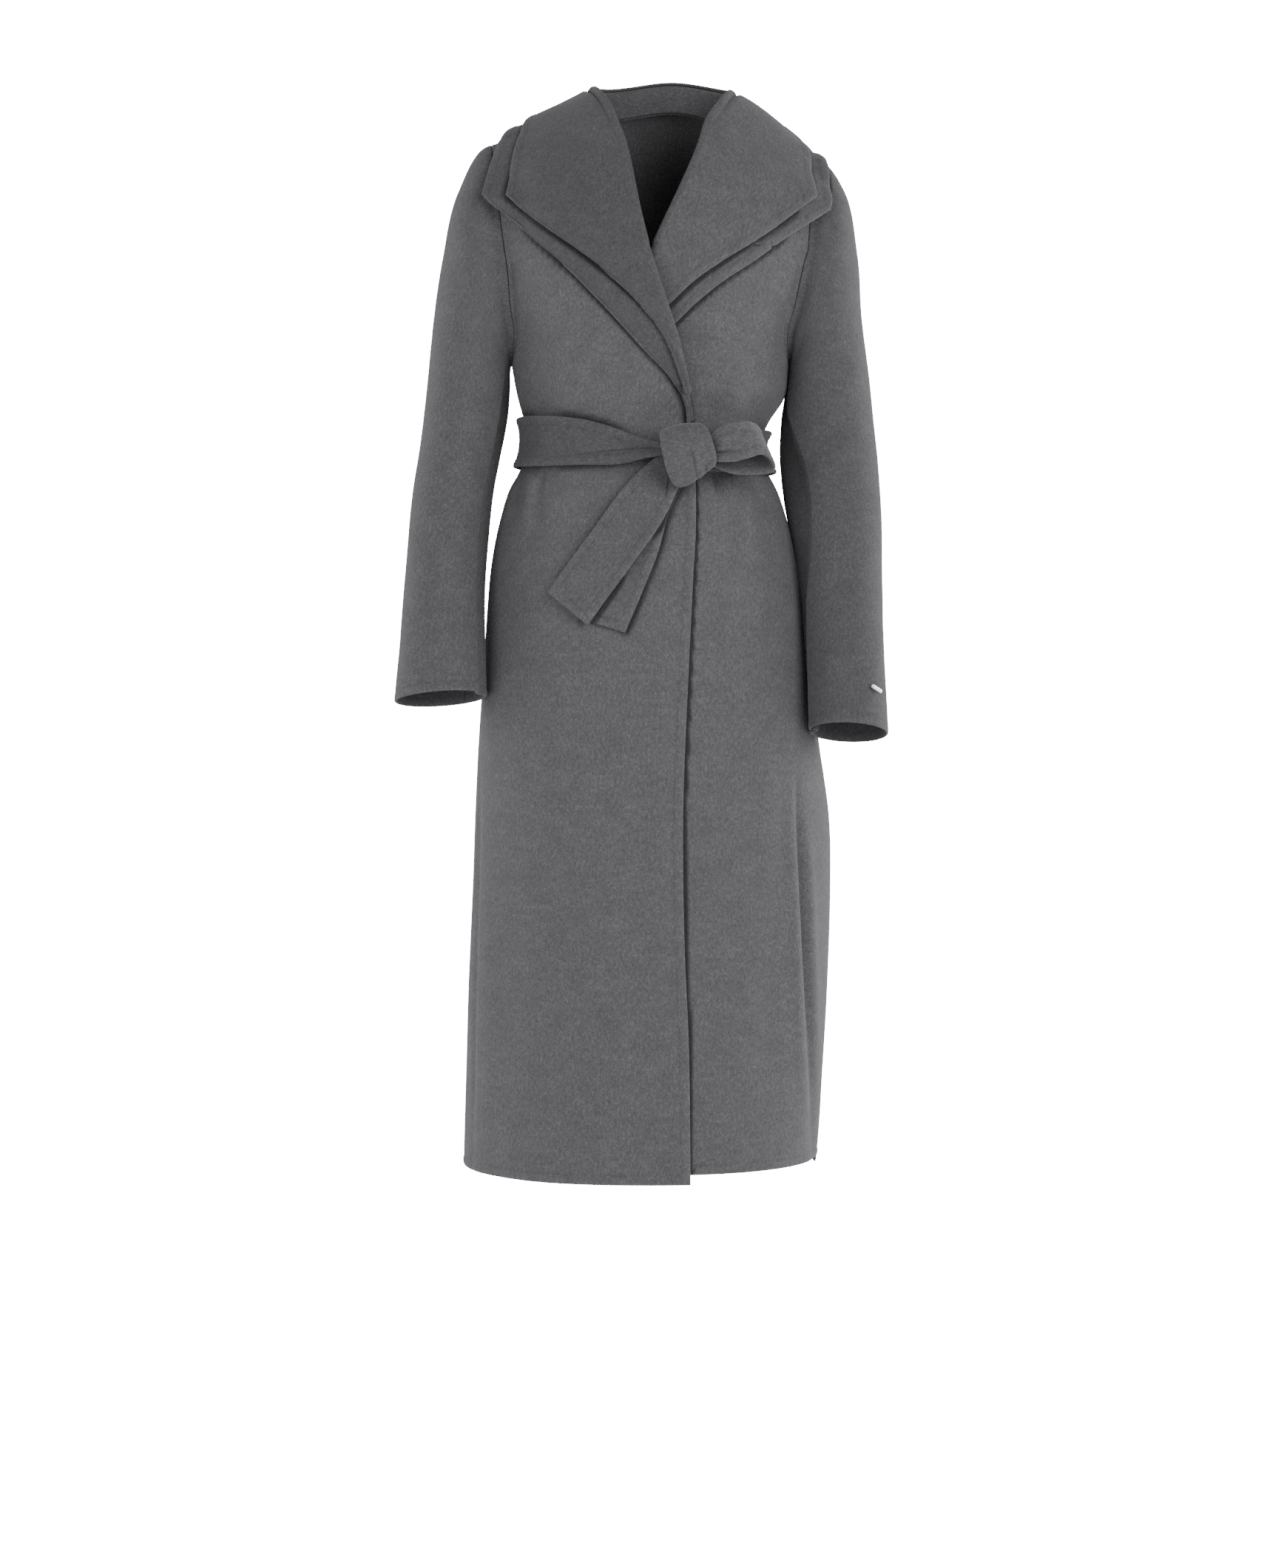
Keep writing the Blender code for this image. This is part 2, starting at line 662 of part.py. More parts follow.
def cloth_mesh(name, grid, thickness, material, closed=False):
    """An object from a grid of points, its rows and columns joined by quads and given the cloth's thickness."""
    rows, cols = grid.shape[:2]
    faces = []
    for i in range(rows - 1):
        for j in range(cols if closed else cols - 1):
            k = (j + 1) % cols
            faces.append((i * cols + j, i * cols + k, (i + 1) * cols + k, (i + 1) * cols + j))
    mesh = bpy.data.meshes.new(name)
    mesh.from_pydata([tuple(p * MM) for p in grid.reshape(-1, 3)], [], faces)
    mesh.update()
    obj = bpy.data.objects.new(name, mesh)
    obj.data.materials.append(material)
    shell = obj.modifiers.new("thickness", "SOLIDIFY")
    shell.thickness = thickness * MM
    shell.offset = 0.0
    shell.use_even_offset = False
    coat.objects.link(obj)
    return obj


def tree_of(*grids):
    """A search tree over open grids, each turned so that its faces look away from its core."""
    points, faces = [], []
    for grid, core in grids:
        rows, cols = grid.shape[:2]
        cores = grid.mean(axis=1, keepdims=True) if core is None else np.array(core)
        across, along = np.gradient(grid, axis=1), np.gradient(grid, axis=0)
        if (np.cross(across, along) * (grid - cores)).sum() < 0:
            grid = grid[:, ::-1]
        base = len(points)
        points += [Vector(p) for p in grid.reshape(-1, 3)]
        for i in range(rows - 1):
            for j in range(cols - 1):
                a, b = base + i * cols + j, base + (i + 1) * cols + j
                faces.append((a, a + 1, b + 1, b))
    return BVHTree.FromPolygons(points, faces)


def pushed(grid, tree, clearance):
    """A grid moved out until its points, and the middles of its edges and cells, clear the tree's surface."""
    grid = grid.copy()
    for _ in range(6):
        moves = np.zeros(grid.shape)
        for down, right in ((0, 0), (0, 1), (1, 0), (1, 1)):
            rows, cols = grid.shape[0] - down, grid.shape[1] - right
            corners = [(i, j) for i in range(down + 1) for j in range(right + 1)]
            middles = sum(grid[i : i + rows, j : j + cols] for i, j in corners) / len(corners)
            for row in range(rows):
                for col in range(cols):
                    point = Vector(middles[row, col])
                    near, normal, _, _ = tree.find_nearest(point)
                    lack = clearance - (point - near).dot(normal)
                    if lack <= 0:
                        continue
                    for i, j in corners:
                        if np.linalg.norm(moves[row + i, col + j]) < lack:
                            moves[row + i, col + j] = np.array(normal) * lack
        grid += moves
    return grid


def roll_line(side, front, back):
    """The line that the collar is sewn to, as shares, points and the ways that the panels' cloth leaves there.

    It runs up the front's edge from the collar's foot, then round half of the back's neck edge.
    """
    rows = front[:, -1, 2] > COLLAR_FOOT_Z[side]
    edge, edge_way = front[rows, -1], front[rows, -1] - front[rows, -2]
    first, last = SIDE_COLUMNS, SIDE_COLUMNS + 2 * NECK_COLUMNS + 1
    neck, neck_way = back[-1, first:last], back[-1, first:last] - back[-2, first:last]
    if side > 0:
        neck, neck_way = neck[::-1], neck_way[::-1]
    points = np.concatenate([edge, neck[1 : NECK_COLUMNS + 1]])
    ways = np.concatenate([edge_way, neck_way[1 : NECK_COLUMNS + 1]])
    ways = ways / np.linalg.norm(ways, axis=1, keepdims=True)
    steps = np.linalg.norm(np.diff(points, axis=0), axis=1)
    return np.concatenate([[0.0], np.cumsum(steps)]) / steps.sum(), points, ways


def collar_layer(side, layer, line_of, tree, clearance):
    """The grid of one half of a collar layer, a section at each point of the roll line."""
    edges = COLLAR_EDGES[(side, layer)]
    shares, line, ways = line_of
    stations = np.concatenate([[edges[0][0]], shares[shares > edges[0][0] + 0.01]])
    radius = LAYER / 2 if layer == "low" else LAYER * 1.5
    sections = []
    for share in stations:
        base = np.array([np.interp(share, shares, line[:, i]) for i in range(3)])
        ahead = np.array([np.interp(min(share + 0.02, 1), shares, line[:, i]) for i in range(3)])
        behind = np.array([np.interp(max(share - 0.02, 0), shares, line[:, i]) for i in range(3)])
        along = (ahead - behind) / np.linalg.norm(ahead - behind)
        way = np.array([np.interp(share, shares, ways[:, i]) for i in range(3)])
        way = way - along * (way @ along)
        way = way / np.linalg.norm(way)
        away = np.array([base[0] - NECK_AXIS[0], base[1] - NECK_AXIS[1], 0.0])
        away = away / np.linalg.norm(away)
        stand = np.interp(share, column(STAND, 0), column(STAND, 1))
        upright, middle_back = ease(stand / UPRIGHT), ease((share - LEVEL_FROM) / (1 - LEVEL_FROM))
        away = side * np.cross(along, way) * (1 - upright) + away * upright
        away = away * (1 - middle_back) + np.array([0.0, 1.0, 0.0]) * middle_back
        away = away / np.linalg.norm(away)
        rising = -side * np.cross(along, away)
        rising = rising / np.linalg.norm(rising)
        rising = rising * (1 - middle_back) + np.array([0.0, 0.0, 1.0]) * middle_back
        turned = np.sqrt(max(1 - (rising @ way) ** 2, 0.0))
        root = base + way * (SEAM + (CLOTH / 2 + SEAM) * turned)
        middle = root + rising * (stand + SEAM) + away * (LAYER / 2 + stand * LEAN)
        edge = np.array(
            [
                np.interp(share, column(edges, 0), column(edges, i)) if i != 2 else 0.0
                for i in (1, 2, 3)
            ]
        )
        edge[1] = edge_y(edges, share, edge)
        path = []
        if layer == "low":
            path += [root, (root + middle - away * radius) / 2]
            for turn in (180.0, 135.0, 90.0, 45.0, 0.0):
                angle = np.radians(turn)
                path.append(middle + away * radius * np.cos(angle) + rising * radius * np.sin(angle))
        else:
            for turn in (90.0, 55.0, 20.0, 0.0):
                angle = np.radians(turn)
                path.append(middle + away * radius * np.cos(angle) + rising * radius * np.sin(angle))
        start = path[-1]
        lean = start - rising * DROOP * np.linalg.norm(edge - start)
        fall = []
        for t in (0.16, 0.34, 0.52, 0.7, 0.86, 1.0):
            fall.append((1 - t) ** 2 * start + 2 * t * (1 - t) * lean + t * t * edge)
        sections.append(resampled(np.array(path), 7 if layer == "low" else 4, np.array(fall)))
    grid = np.array(sections)
    grid[:, -7:] = pushed(grid[:, -7:], tree, clearance)
    grid[-1, :, 0] = line[-1, 0] + side * SEAM * 2
    return grid


def resampled(path, count, fall):
    """The turned part of a section spread to a fixed number of points, with its fall after it."""
    steps = np.linalg.norm(np.diff(path, axis=0), axis=1)
    places = np.concatenate([[0.0], np.cumsum(steps)])
    even = np.linspace(0, len(places) - 1, count)
    at = np.interp(even, np.arange(len(places)), places)
    turned = np.stack([np.interp(at, places, path[:, i]) for i in range(3)], axis=1)
    return np.concatenate([turned, fall])


def edge_y(edges, share, edge):
    """How far forward a collar edge lies: on the front for the rows that say so."""
    ys = []
    for _, x, y, z in edges:
        if y is None:
            q = place_of(x, z, 0.0)
            y = body("front", np.clip(q, -0.96, 0.96), z)[1] - 2 * LAYER
        ys.append(y)
    return np.interp(share, column(edges, 0), ys)


def paint(name, colour, roughness, metallic=0.0):
    """A plain material of its own for a piece."""
    material = bpy.data.materials.new(name)
    material.use_nodes = True
    shader = material.node_tree.nodes["Principled BSDF"]
    shader.inputs["Base Color"].default_value = (*colour, 1.0)
    shader.inputs["Roughness"].default_value = roughness
    shader.inputs["Metallic"].default_value = metallic
    return material


def wool(name):
    """The coat's wool, as a piece's own material."""
    return paint(f"wool_{name}", (0.125, 0.122, 0.13), 0.95)


def build_body():
    """Back, fronts and their search surfaces."""
    back = back_panel(SIDE_COLUMNS, NECK_COLUMNS)
    outer = front_panel(-1, 16)
    under = front_panel(1, 15)
    cloth_mesh("back", back, CLOTH, wool("back"))
    cloth_mesh("front_right", outer, CLOTH, wool("front_right"))
    cloth_mesh("front_left", under, CLOTH, wool("front_left"))
    return back, outer, under


def build_sleeves(back, outer, under):
    """Both two-piece sleeves, returned as whole grids too, with the armholes' edges."""
    whole = {}
    edges = {-1: arm_edge(-1, outer, back), 1: arm_edge(1, under, back)}
    lengths = sleeve_lengths(16)
    for side, word in ((-1, "right"), (1, "left")):
        first, last = UNDER_SLEEVE[side]
        top_turns = spaced(last - 360 + SEAM_TURN, first - SEAM_TURN, 15)
        under_turns = spaced(first + SEAM_TURN, last - SEAM_TURN, 8)
        for piece, turns in (("top", top_turns), ("under", under_turns)):
            name = f"sleeve_{word}_{piece}"
            cloth_mesh(name, sleeve(side, turns, lengths, edges[side]), CLOTH, wool(name))
        whole[side] = sleeve(side, np.linspace(0, 360, 49), np.linspace(0, 1, 60), edges[side])
    return whole, edges


def build_collar(back, outer, under, sleeves):
    """Two layers, each in two halves that meet in the middle of the back."""
    for side, front, word in ((1, under, "left"), (-1, outer, "right")):
        base = tree_of((back, CORE), (front, CORE), (sleeves[side], None))
        line = roll_line(side, front, back)
        low = collar_layer(side, "low", line, base, LAYER)
        cloth_mesh(f"collar_lower_{word}", low, CLOTH, wool(f"collar_lower_{word}"))
        over = tree_of((low[:, 5:], CORE))
        top = collar_layer(side, "top", line, over, LAYER)
        cloth_mesh(f"collar_upper_{word}", top, CLOTH, wool(f"collar_upper_{word}"))


def belt_base(angle, z):
    """The waist's furthest reach near a height, at an angle from the front seen from above."""
    name = "front" if np.cos(angle) > 0 else "back"
    aim = np.array([-np.sin(angle), -np.cos(angle)])
    turns = np.linspace(-1, 1, 401)
    reach = 0.0
    for height in np.linspace(z - BELT_REACH, z + BELT_REACH, 5):
        ring = body(name, place_at(turns), height)
        flat = ring[:, :2] - np.array(BELT_MIDDLE)
        apart = np.abs(flat[:, 0] * aim[1] - flat[:, 1] * aim[0])
        apart[flat @ aim < 0] = np.inf
        best = int(np.argmin(apart))
        reach = max(reach, float(flat[best] @ aim))
    return reach, aim


def build_belt():
    """The band round the waist, the knot, the half bow and the two ends."""
    angles = np.concatenate([np.linspace(-2, 40, 12)[:-1], np.linspace(40, 338, 44)])
    mids = smooth(column(BELT_ROWS, 0), np.array([row[1:] for row in BELT_ROWS], float), angles)
    grid = []
    for angle, (top, bottom, out) in zip(angles, mids):
        line = []
        for z in np.linspace(top, bottom, 5):
            reach, aim = belt_base(np.radians(angle), z)
            x, y = np.array(BELT_MIDDLE) + aim * (reach + out)
            line.append((x, y, z))
        grid.append(line)
    cloth_mesh("belt_band", np.array(grid), BELT_CLOTH, wool("belt_band"))

    rows = np.array(KNOT_ROWS + KNOT_ROWS[:3], float)
    places = np.arange(len(rows))
    around = smooth(places, rows, np.linspace(1, len(KNOT_ROWS) + 1, 19)[:-1])
    grid = []
    for share in np.linspace(0, 1, 7):
        swell = np.sin(np.pi * share) * KNOT_SWELL
        ring = around[:, :2] + (around[:, 2:4] - around[:, :2]) * share
        flat = np.stack([around[:, 4], ring[:, 1]], axis=1)
        out = flat - flat.mean(axis=0)
        flat = flat + out / np.linalg.norm(out, axis=1, keepdims=True) * swell
        grid.append(np.concatenate([ring[:, :1], flat], axis=1))
    cloth_mesh("belt_knot", np.array(grid), FOLDED_CLOTH, wool("belt_knot"), closed=True)

    rows = np.array(LOOP_ROWS, float)
    path = smooth(np.arange(len(rows)), rows, np.linspace(0, len(rows) - 1, 25))
    grid = []
    for top_x, high_z, bottom_x, low_z, top_y, bottom_y in path:
        grid.append(np.linspace((top_x, top_y, high_z), (bottom_x, bottom_y, low_z), 5))
    cloth_mesh("belt_loop", np.array(grid), FOLDED_CLOTH, wool("belt_loop"))

    for name, rows in TAIL_ROWS.items():
        rows = np.array(rows, float)
        path = smooth(np.arange(len(rows)), rows, np.linspace(0, len(rows) - 1, 14))
        grid = []
        for left_x, left_z, right_x, right_z, out in path:
            line = []
            for share in np.linspace(0, 1, 5):
                x = left_x + (right_x - left_x) * share
                z = left_z + (right_z - left_z) * share
                flat = body("front", place_of(x, z), z)
                off = np.interp(z, column(STAND_OFF, 0), column(STAND_OFF, 1))
                line.append((x, flat[1] - off - out, z))
            grid.append(line)
        cloth_mesh(name, np.array(grid), BELT_CLOTH, wool(name))


def build_bar(edge):
    """The plain metal bar on the wearer's left cuff, lying on the sleeve."""
    side = 1
    lengths = np.linspace(0.6, 1.0, 81)
    line = sleeve(side, [BAR_ANGLE - 4, BAR_ANGLE, BAR_ANGLE + 4], lengths, edge)
    row = int(np.argmin(np.abs(line[:, 1, 2] - BAR_Z)))
    here = line[row, 1]
    along = line[row + 1, 1] - line[row - 1, 1]
    across = line[row, 0] - line[row, 2]
    out = np.cross(along, across)
    out = out / np.linalg.norm(out)
    if out[0] < 0:
        out = -out
    across = across / np.linalg.norm(across)
    up = np.cross(out, across)
    turn = np.radians(BAR_TURN)
    length_way = across * np.cos(turn) - up * np.sin(turn) * np.sign(up[2])
    width_way = np.cross(out, length_way)
    long, wide, thick = BAR
    centre = here + out * (CLOTH / 2 + thick / 2 + BAR_GAP)
    mesh = bpy.data.meshes.new("cuff_bar")
    corners = []
    for a in (-0.5, 0.5):
        for b in (-0.5, 0.5):
            for c in (-0.5, 0.5):
                corners.append(centre + length_way * long * a + width_way * wide * b + out * thick * c)
    faces = [(0, 1, 3, 2), (4, 6, 7, 5), (0, 4, 5, 1), (2, 3, 7, 6), (0, 2, 6, 4), (1, 5, 7, 3)]
    mesh.from_pydata([tuple(p * MM) for p in corners], [], faces)
    mesh.update()
    obj = bpy.data.objects.new("cuff_bar", mesh)
    obj.data.materials.append(paint("metal_cuff_bar", (0.75, 0.75, 0.76), 0.3, 1.0))
    bevel = obj.modifiers.new("edge", "BEVEL")
    bevel.width = BAR_BEVEL * MM
    bevel.segments = 2
    coat.objects.link(obj)


for old in list(bpy.data.objects):
    bpy.data.objects.remove(old)

coat = bpy.data.collections.new("wrap_coat")
bpy.context.scene.collection.children.link(coat)

back_grid, outer_grid, under_grid = build_body()
sleeve_grids, arm_edges = build_sleeves(back_grid, outer_grid, under_grid)
build_collar(back_grid, outer_grid, under_grid, sleeve_grids)
build_belt()
build_bar(arm_edges[1])
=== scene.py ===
"""Looks of a long charcoal wrap coat: brushed wool shells on its solids' form, a tied belt and a metal bar.

The wearer's left is +X, the front -Y and up +Z, with the origin at the neck base. Lengths are in millimetres
unless a name says otherwise, and they become metres when a mesh is made.
"""

import logging
from dataclasses import dataclass
from enum import Enum, IntEnum
from typing import ClassVar

import bpy
import numpy as np
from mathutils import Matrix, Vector


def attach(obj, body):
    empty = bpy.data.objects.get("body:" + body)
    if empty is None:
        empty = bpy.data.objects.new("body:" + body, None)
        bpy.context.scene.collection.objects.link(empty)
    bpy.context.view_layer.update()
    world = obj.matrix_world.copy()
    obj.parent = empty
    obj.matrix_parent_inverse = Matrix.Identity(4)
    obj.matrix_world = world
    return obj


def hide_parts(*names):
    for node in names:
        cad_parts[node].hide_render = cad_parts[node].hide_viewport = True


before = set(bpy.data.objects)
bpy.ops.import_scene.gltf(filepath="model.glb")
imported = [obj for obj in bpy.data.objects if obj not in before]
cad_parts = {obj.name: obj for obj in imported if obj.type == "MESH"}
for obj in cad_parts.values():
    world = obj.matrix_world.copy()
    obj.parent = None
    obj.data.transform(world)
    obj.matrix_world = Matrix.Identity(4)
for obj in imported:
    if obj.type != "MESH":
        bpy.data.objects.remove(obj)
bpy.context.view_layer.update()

LOG = logging.getLogger("wrap_coat")
Array = np.ndarray

MM = 0.001  # in metres
CLOTH = 2.6  # the coat's wool
BELT_CLOTH = 4.4  # the same wool in two pressed layers
FOLDED_CLOTH = 3.5  # the same where the belt turns sharply, in the knot and the half bow
SEAM = 0.3  # between pieces that are sewn together
TOUCH = -0.04  # how far a panel's edge is drawn in: below 0 it goes past its seam line and closes the gap
LAYER = 5.0  # from the middle of a layer of cloth to the middle of what it lies on
RIM_STEPS = (0.25, 0.8, 1.7)  # how far from an edge a wall's extra rows lie
RIM_LIMIT = 0.9  # the furthest of them, as a share of the way to the next row
BLUNT = 0.04  # the least place on an edge's nose, as a share of half the wall, so that its rim has a width
TURN, TURN_SPREAD = 4.5, 3.2  # where a turned edge is fullest, and over what distance
STITCH, STITCH_SPREAD, STITCH_DEPTH = 10.5, 1.3, 0.3  # where its stitched line lies, how wide and how deep
CUT_APART = 137.0  # between the starts of two pieces' UV maps
REST = slice(1, None)  # every column of a table but its first
BODY_CORE = np.array((0.0, 0.0, -250.0))  # a point inside the body, which outer faces look away from
BELT_CORE = np.array((8.0, 0.0, -400.0))  # the same inside the belt


class Side(IntEnum):
    """The wearer's side that a piece is on, as the sign of its x."""

    RIGHT = -1
    LEFT = 1

    @property
    def word(self) -> str:
        """The side's word in the names of pieces."""
        return self.name.lower()


class Finish(Enum):
    """How an edge of cloth is finished."""

    SEAM = "sewn to its neighbour"
    TURNED = "turned in and stitched"


@dataclass(frozen=True)
class Fold:
    """A soft ridge or trough along a line in a piece's own two measures.

    Attributes:
        start_a, start_b: Where it begins.
        end_a, end_b: Where it ends.
        width: Half its width, across the line.
        height: How far it stands out, below 0 for a trough.
        bow: How far its middle lies off the straight line.
        lead: Over 1 puts its fullest place nearer the end, under 1 nearer the start.
    """

    start_a: float
    start_b: float
    end_a: float
    end_b: float
    width: float
    height: float
    bow: float = 0.0
    lead: float = 1.0

    def rise(self, a: Array, b: Array) -> Array:
        """The fold's height at points: height x bell(distance from the bowed line) x sin(pi x share^lead)."""
        first, last = np.array((self.start_a, self.start_b)), np.array((self.end_a, self.end_b))
        line = last - first
        length = float(np.hypot(*line))
        along, across = line / length, np.array([-line[1], line[0]]) / length
        share = np.clip(((a - first[0]) * along[0] + (b - first[1]) * along[1]) / length, 0.0, 1.0)
        off = (a - first[0]) * across[0] + (b - first[1]) * across[1] - self.bow * np.sin(np.pi * share)
        return self.height * bell(off / self.width) * np.sin(np.pi * share**self.lead) ** 1.5


def bell(away: Array) -> Array:
    """1 in the middle and less to both sides: e^(-away^2)."""
    return np.exp(-(away**2))


def column(table: tuple, index: int | slice) -> Array:
    """One column of a table of rows, or several."""
    return np.array([row[index] for row in table], float)


def smooth(xs: Array, ys: Array, at: Array) -> Array:
    """A cubic through the rows (xs, ys) with slopes from their neighbours, read at each place of at."""
    xs, ys = np.asarray(xs, float), np.asarray(ys, float)
    order = np.argsort(xs)
    xs, ys = xs[order], ys[order]
    slopes = np.gradient(ys, xs, axis=0)
    at = np.clip(np.asarray(at, float), xs[0], xs[-1])
    cell = np.clip(np.searchsorted(xs, at) - 1, 0, len(xs) - 2)
    step = xs[cell + 1] - xs[cell]
    t = (at - xs[cell]) / step
    spread = t.shape + (1,) * (ys.ndim - 1)
    t, step = t.reshape(spread), step.reshape(spread)
    low, high = ys[cell], ys[cell + 1]
    bend = t * t * (3 - 2 * t)
    start = (t**3 - 2 * t**2 + t) * step * slopes[cell]
    end = (t**3 - t**2) * step * slopes[cell + 1]
    return low + (high - low) * bend + start + end


def read(table: tuple, at: Array, index: int | slice = 1) -> Array:
    """A column of a table at places of its first column, by the cubic of smooth."""
    return smooth(column(table, 0), column(table, index), at)


def through(rows: Array, at: Array) -> Array:
    """The cubic of smooth through rows that lie at 0, 1, 2 and so on."""
    return smooth(np.arange(len(rows)), rows, at)


def between(path: Array, first: int, last: int, share: Array) -> Array:
    """Places between two columns of a path, at shares of the way from the first to the last."""
    start, end = path[:, first, None], path[:, last, None]
    return start + (end - start) * share


def ease(value: Array) -> Array:
    """0 to 1 with level ends: 3v^2 - 2v^3."""
    value = np.clip(value, 0.0, 1.0)
    return value * value * (3 - 2 * value)


def unit(vectors: Array) -> Array:
    """Vectors brought to length 1."""
    return vectors / np.maximum(np.linalg.norm(vectors, axis=-1, keepdims=True), 1e-9)


def subdivided(values: tuple, step: float) -> Array:
    """The values with even places between them, no further apart than the step."""
    pieces = []
    for low, high in zip(values[:-1], values[1:]):
        count = max(int(np.ceil(abs(high - low) / step)), 1)
        pieces.append(np.linspace(low, high, count + 1)[:-1])
    return np.concatenate(pieces + [np.array([values[-1]], float)])


def lengths_along(grid: Array, axis: int) -> Array:
    """The length from the first point of each row or column of a grid."""
    steps = np.linalg.norm(np.diff(grid, axis=axis), axis=2)
    zero = np.zeros_like(np.take(steps, [0], axis=axis))
    return np.cumsum(np.concatenate([zero, steps], axis=axis), axis=axis)


def refined(grid: Array, rows: int, cols: int) -> Array:
    """A coarse grid read finely by the cubic of smooth, along its rows and then its columns."""
    down = through(grid, np.linspace(0, grid.shape[0] - 1, rows))
    return through(down.swapaxes(0, 1), np.linspace(0, grid.shape[1] - 1, cols)).swapaxes(0, 1)


def with_rims(grid: Array, closed: bool) -> Array:
    """The grid with extra rows and columns at RIM_STEPS from its edges, so that an edge can be rounded."""

    def beside(edge: Array, inner: Array) -> Array:
        """Rows at the steps from an edge towards the next row."""
        step = np.maximum(np.linalg.norm(inner - edge, axis=-1, keepdims=True), 1e-6)
        return np.array([edge + (inner - edge) * np.minimum(away / step, RIM_LIMIT) for away in RIM_STEPS])

    def rimmed(rows: Array) -> Array:
        """The rows with those beside the first and the last of them."""
        head, tail = beside(rows[0], rows[1]), beside(rows[-1], rows[-2])
        return np.concatenate([rows[:1], head, rows[1:-1], tail[::-1], rows[-1:]])

    grid = rimmed(grid)
    return grid if closed else rimmed(grid.swapaxes(0, 1)).swapaxes(0, 1)


def grid_normals(grid: Array, core: Array | None = None, closed: bool = False) -> tuple[Array, bool]:
    """Unit normals of a grid, turned away from its core, and whether the grid's own order had to be turned.

    Args:
        grid: Points in rows and columns.
        core: A point inside, or None for the middle of each row.
        closed: Whether the last column joins the first.

    Returns:
        The normals and the answer.
    """
    core = grid.mean(axis=1, keepdims=True) if core is None else core
    if closed:
        wrapped = np.concatenate([grid[:, -1:], grid, grid[:, :1]], axis=1)
        across = (wrapped[:, 2:] - wrapped[:, :-2]) / 2
    else:
        across = np.gradient(grid, axis=1)
    normals = unit(np.cross(across, np.gradient(grid, axis=0)))
    turned = bool((normals * (grid - core)).sum() < 0)
    return (-normals if turned else normals), turned


def raised(grid: Array, height: Array, core: Array | None = None, closed: bool = False) -> Array:
    """A grid moved along its normals by a height for each point."""
    return grid + grid_normals(grid, core, closed)[0] * height[..., None]


def waves(u: Array, v: Array, seed: int, height: float, shortest: float, longest: float) -> Array:
    """The unevenness of hung cloth: a sum of ten sine waves, each with its own way, length and phase.

    Args:
        u: Places across the cloth.
        v: Places along it.
        seed: Chooses the ways and phases.
        height: About the greatest rise.
        shortest: The shortest wave.
        longest: The longest wave, whose height is the greatest.

    Returns:
        A height for each place.
    """
    random = np.random.default_rng(seed)
    total = np.zeros(np.broadcast(u, v).shape)
    for length in np.geomspace(shortest, longest, 10):
        way, phase = random.uniform(0, np.pi), random.uniform(0, 2 * np.pi)
        place = (u * np.cos(way) + v * np.sin(way)) / length
        total = total + np.sin(2 * np.pi * place + phase) * length / longest
    return total * height / 3.0


def kept_off(grid: Array, targets: tuple[tuple[Array, Array | None], ...], clearance: float) -> Array:
    """A grid's points moved off the outer side of other grids.

    A point nearer than the clearance, or behind, goes to that distance on the line from the nearest point of
    the targets, which is what a Shrinkwrap set to outside does. The others stay.

    Args:
        grid: The points that move.
        targets: Grids to keep off, each with its core.
        clearance: The least distance.

    Returns:
        The moved points.
    """
    made = [open_mesh("target", [outward_grid(points, core) for points, core in targets])]
    made.append(open_mesh("kept", [grid]))
    wrap = made[1].modifiers.new("off", "SHRINKWRAP")
    wrap.target = made[0]
    wrap.wrap_method = "NEAREST_SURFACEPOINT"
    wrap.wrap_mode = "OUTSIDE"
    wrap.offset = clearance * MM
    bpy.context.view_layer.update()
    points = np.empty(grid.size, np.float32)
    made[1].evaluated_get(bpy.context.evaluated_depsgraph_get()).data.vertices.foreach_get("co", points)
    for obj in made:
        bpy.data.objects.remove(obj)
    return points.reshape(grid.shape).astype(float) / MM


def outward_grid(grid: Array, core: Array | None) -> Array:
    """The grid with its columns turned round where its faces would look at the core."""
    return grid[:, ::-1] if grid_normals(grid, core)[1] else grid


def numbered(rows: int, cols: int, closed: bool = False) -> Array:
    """The numbers of a grid's points, row by row, with the first column again at the end if it is closed."""
    index = np.arange(rows * cols).reshape(rows, cols)
    return np.concatenate([index, index[:, :1]], axis=1) if closed else index


def quads(index: Array) -> Array:
    """The faces between neighbouring points of a grid, from the points' numbers."""
    return np.stack([index[:-1, :-1], index[:-1, 1:], index[1:, 1:], index[1:, :-1]], axis=-1).reshape(-1, 4)


def open_mesh(name: str, grids: list[Array]) -> bpy.types.Object:
    """A helper object made of open grids, which is removed after use."""
    firsts = np.cumsum([0] + [grid.shape[0] * grid.shape[1] for grid in grids])
    faces = np.concatenate([quads(numbered(*grid.shape[:2]) + first) for grid, first in zip(grids, firsts)])
    points = np.concatenate([grid.reshape(-1, 3) for grid in grids])
    mesh = bpy.data.meshes.new(name)
    mesh.from_pydata((points * MM).tolist(), [], faces.tolist())
    obj = bpy.data.objects.new(name, mesh)
    bpy.context.scene.collection.objects.link(obj)
    return obj


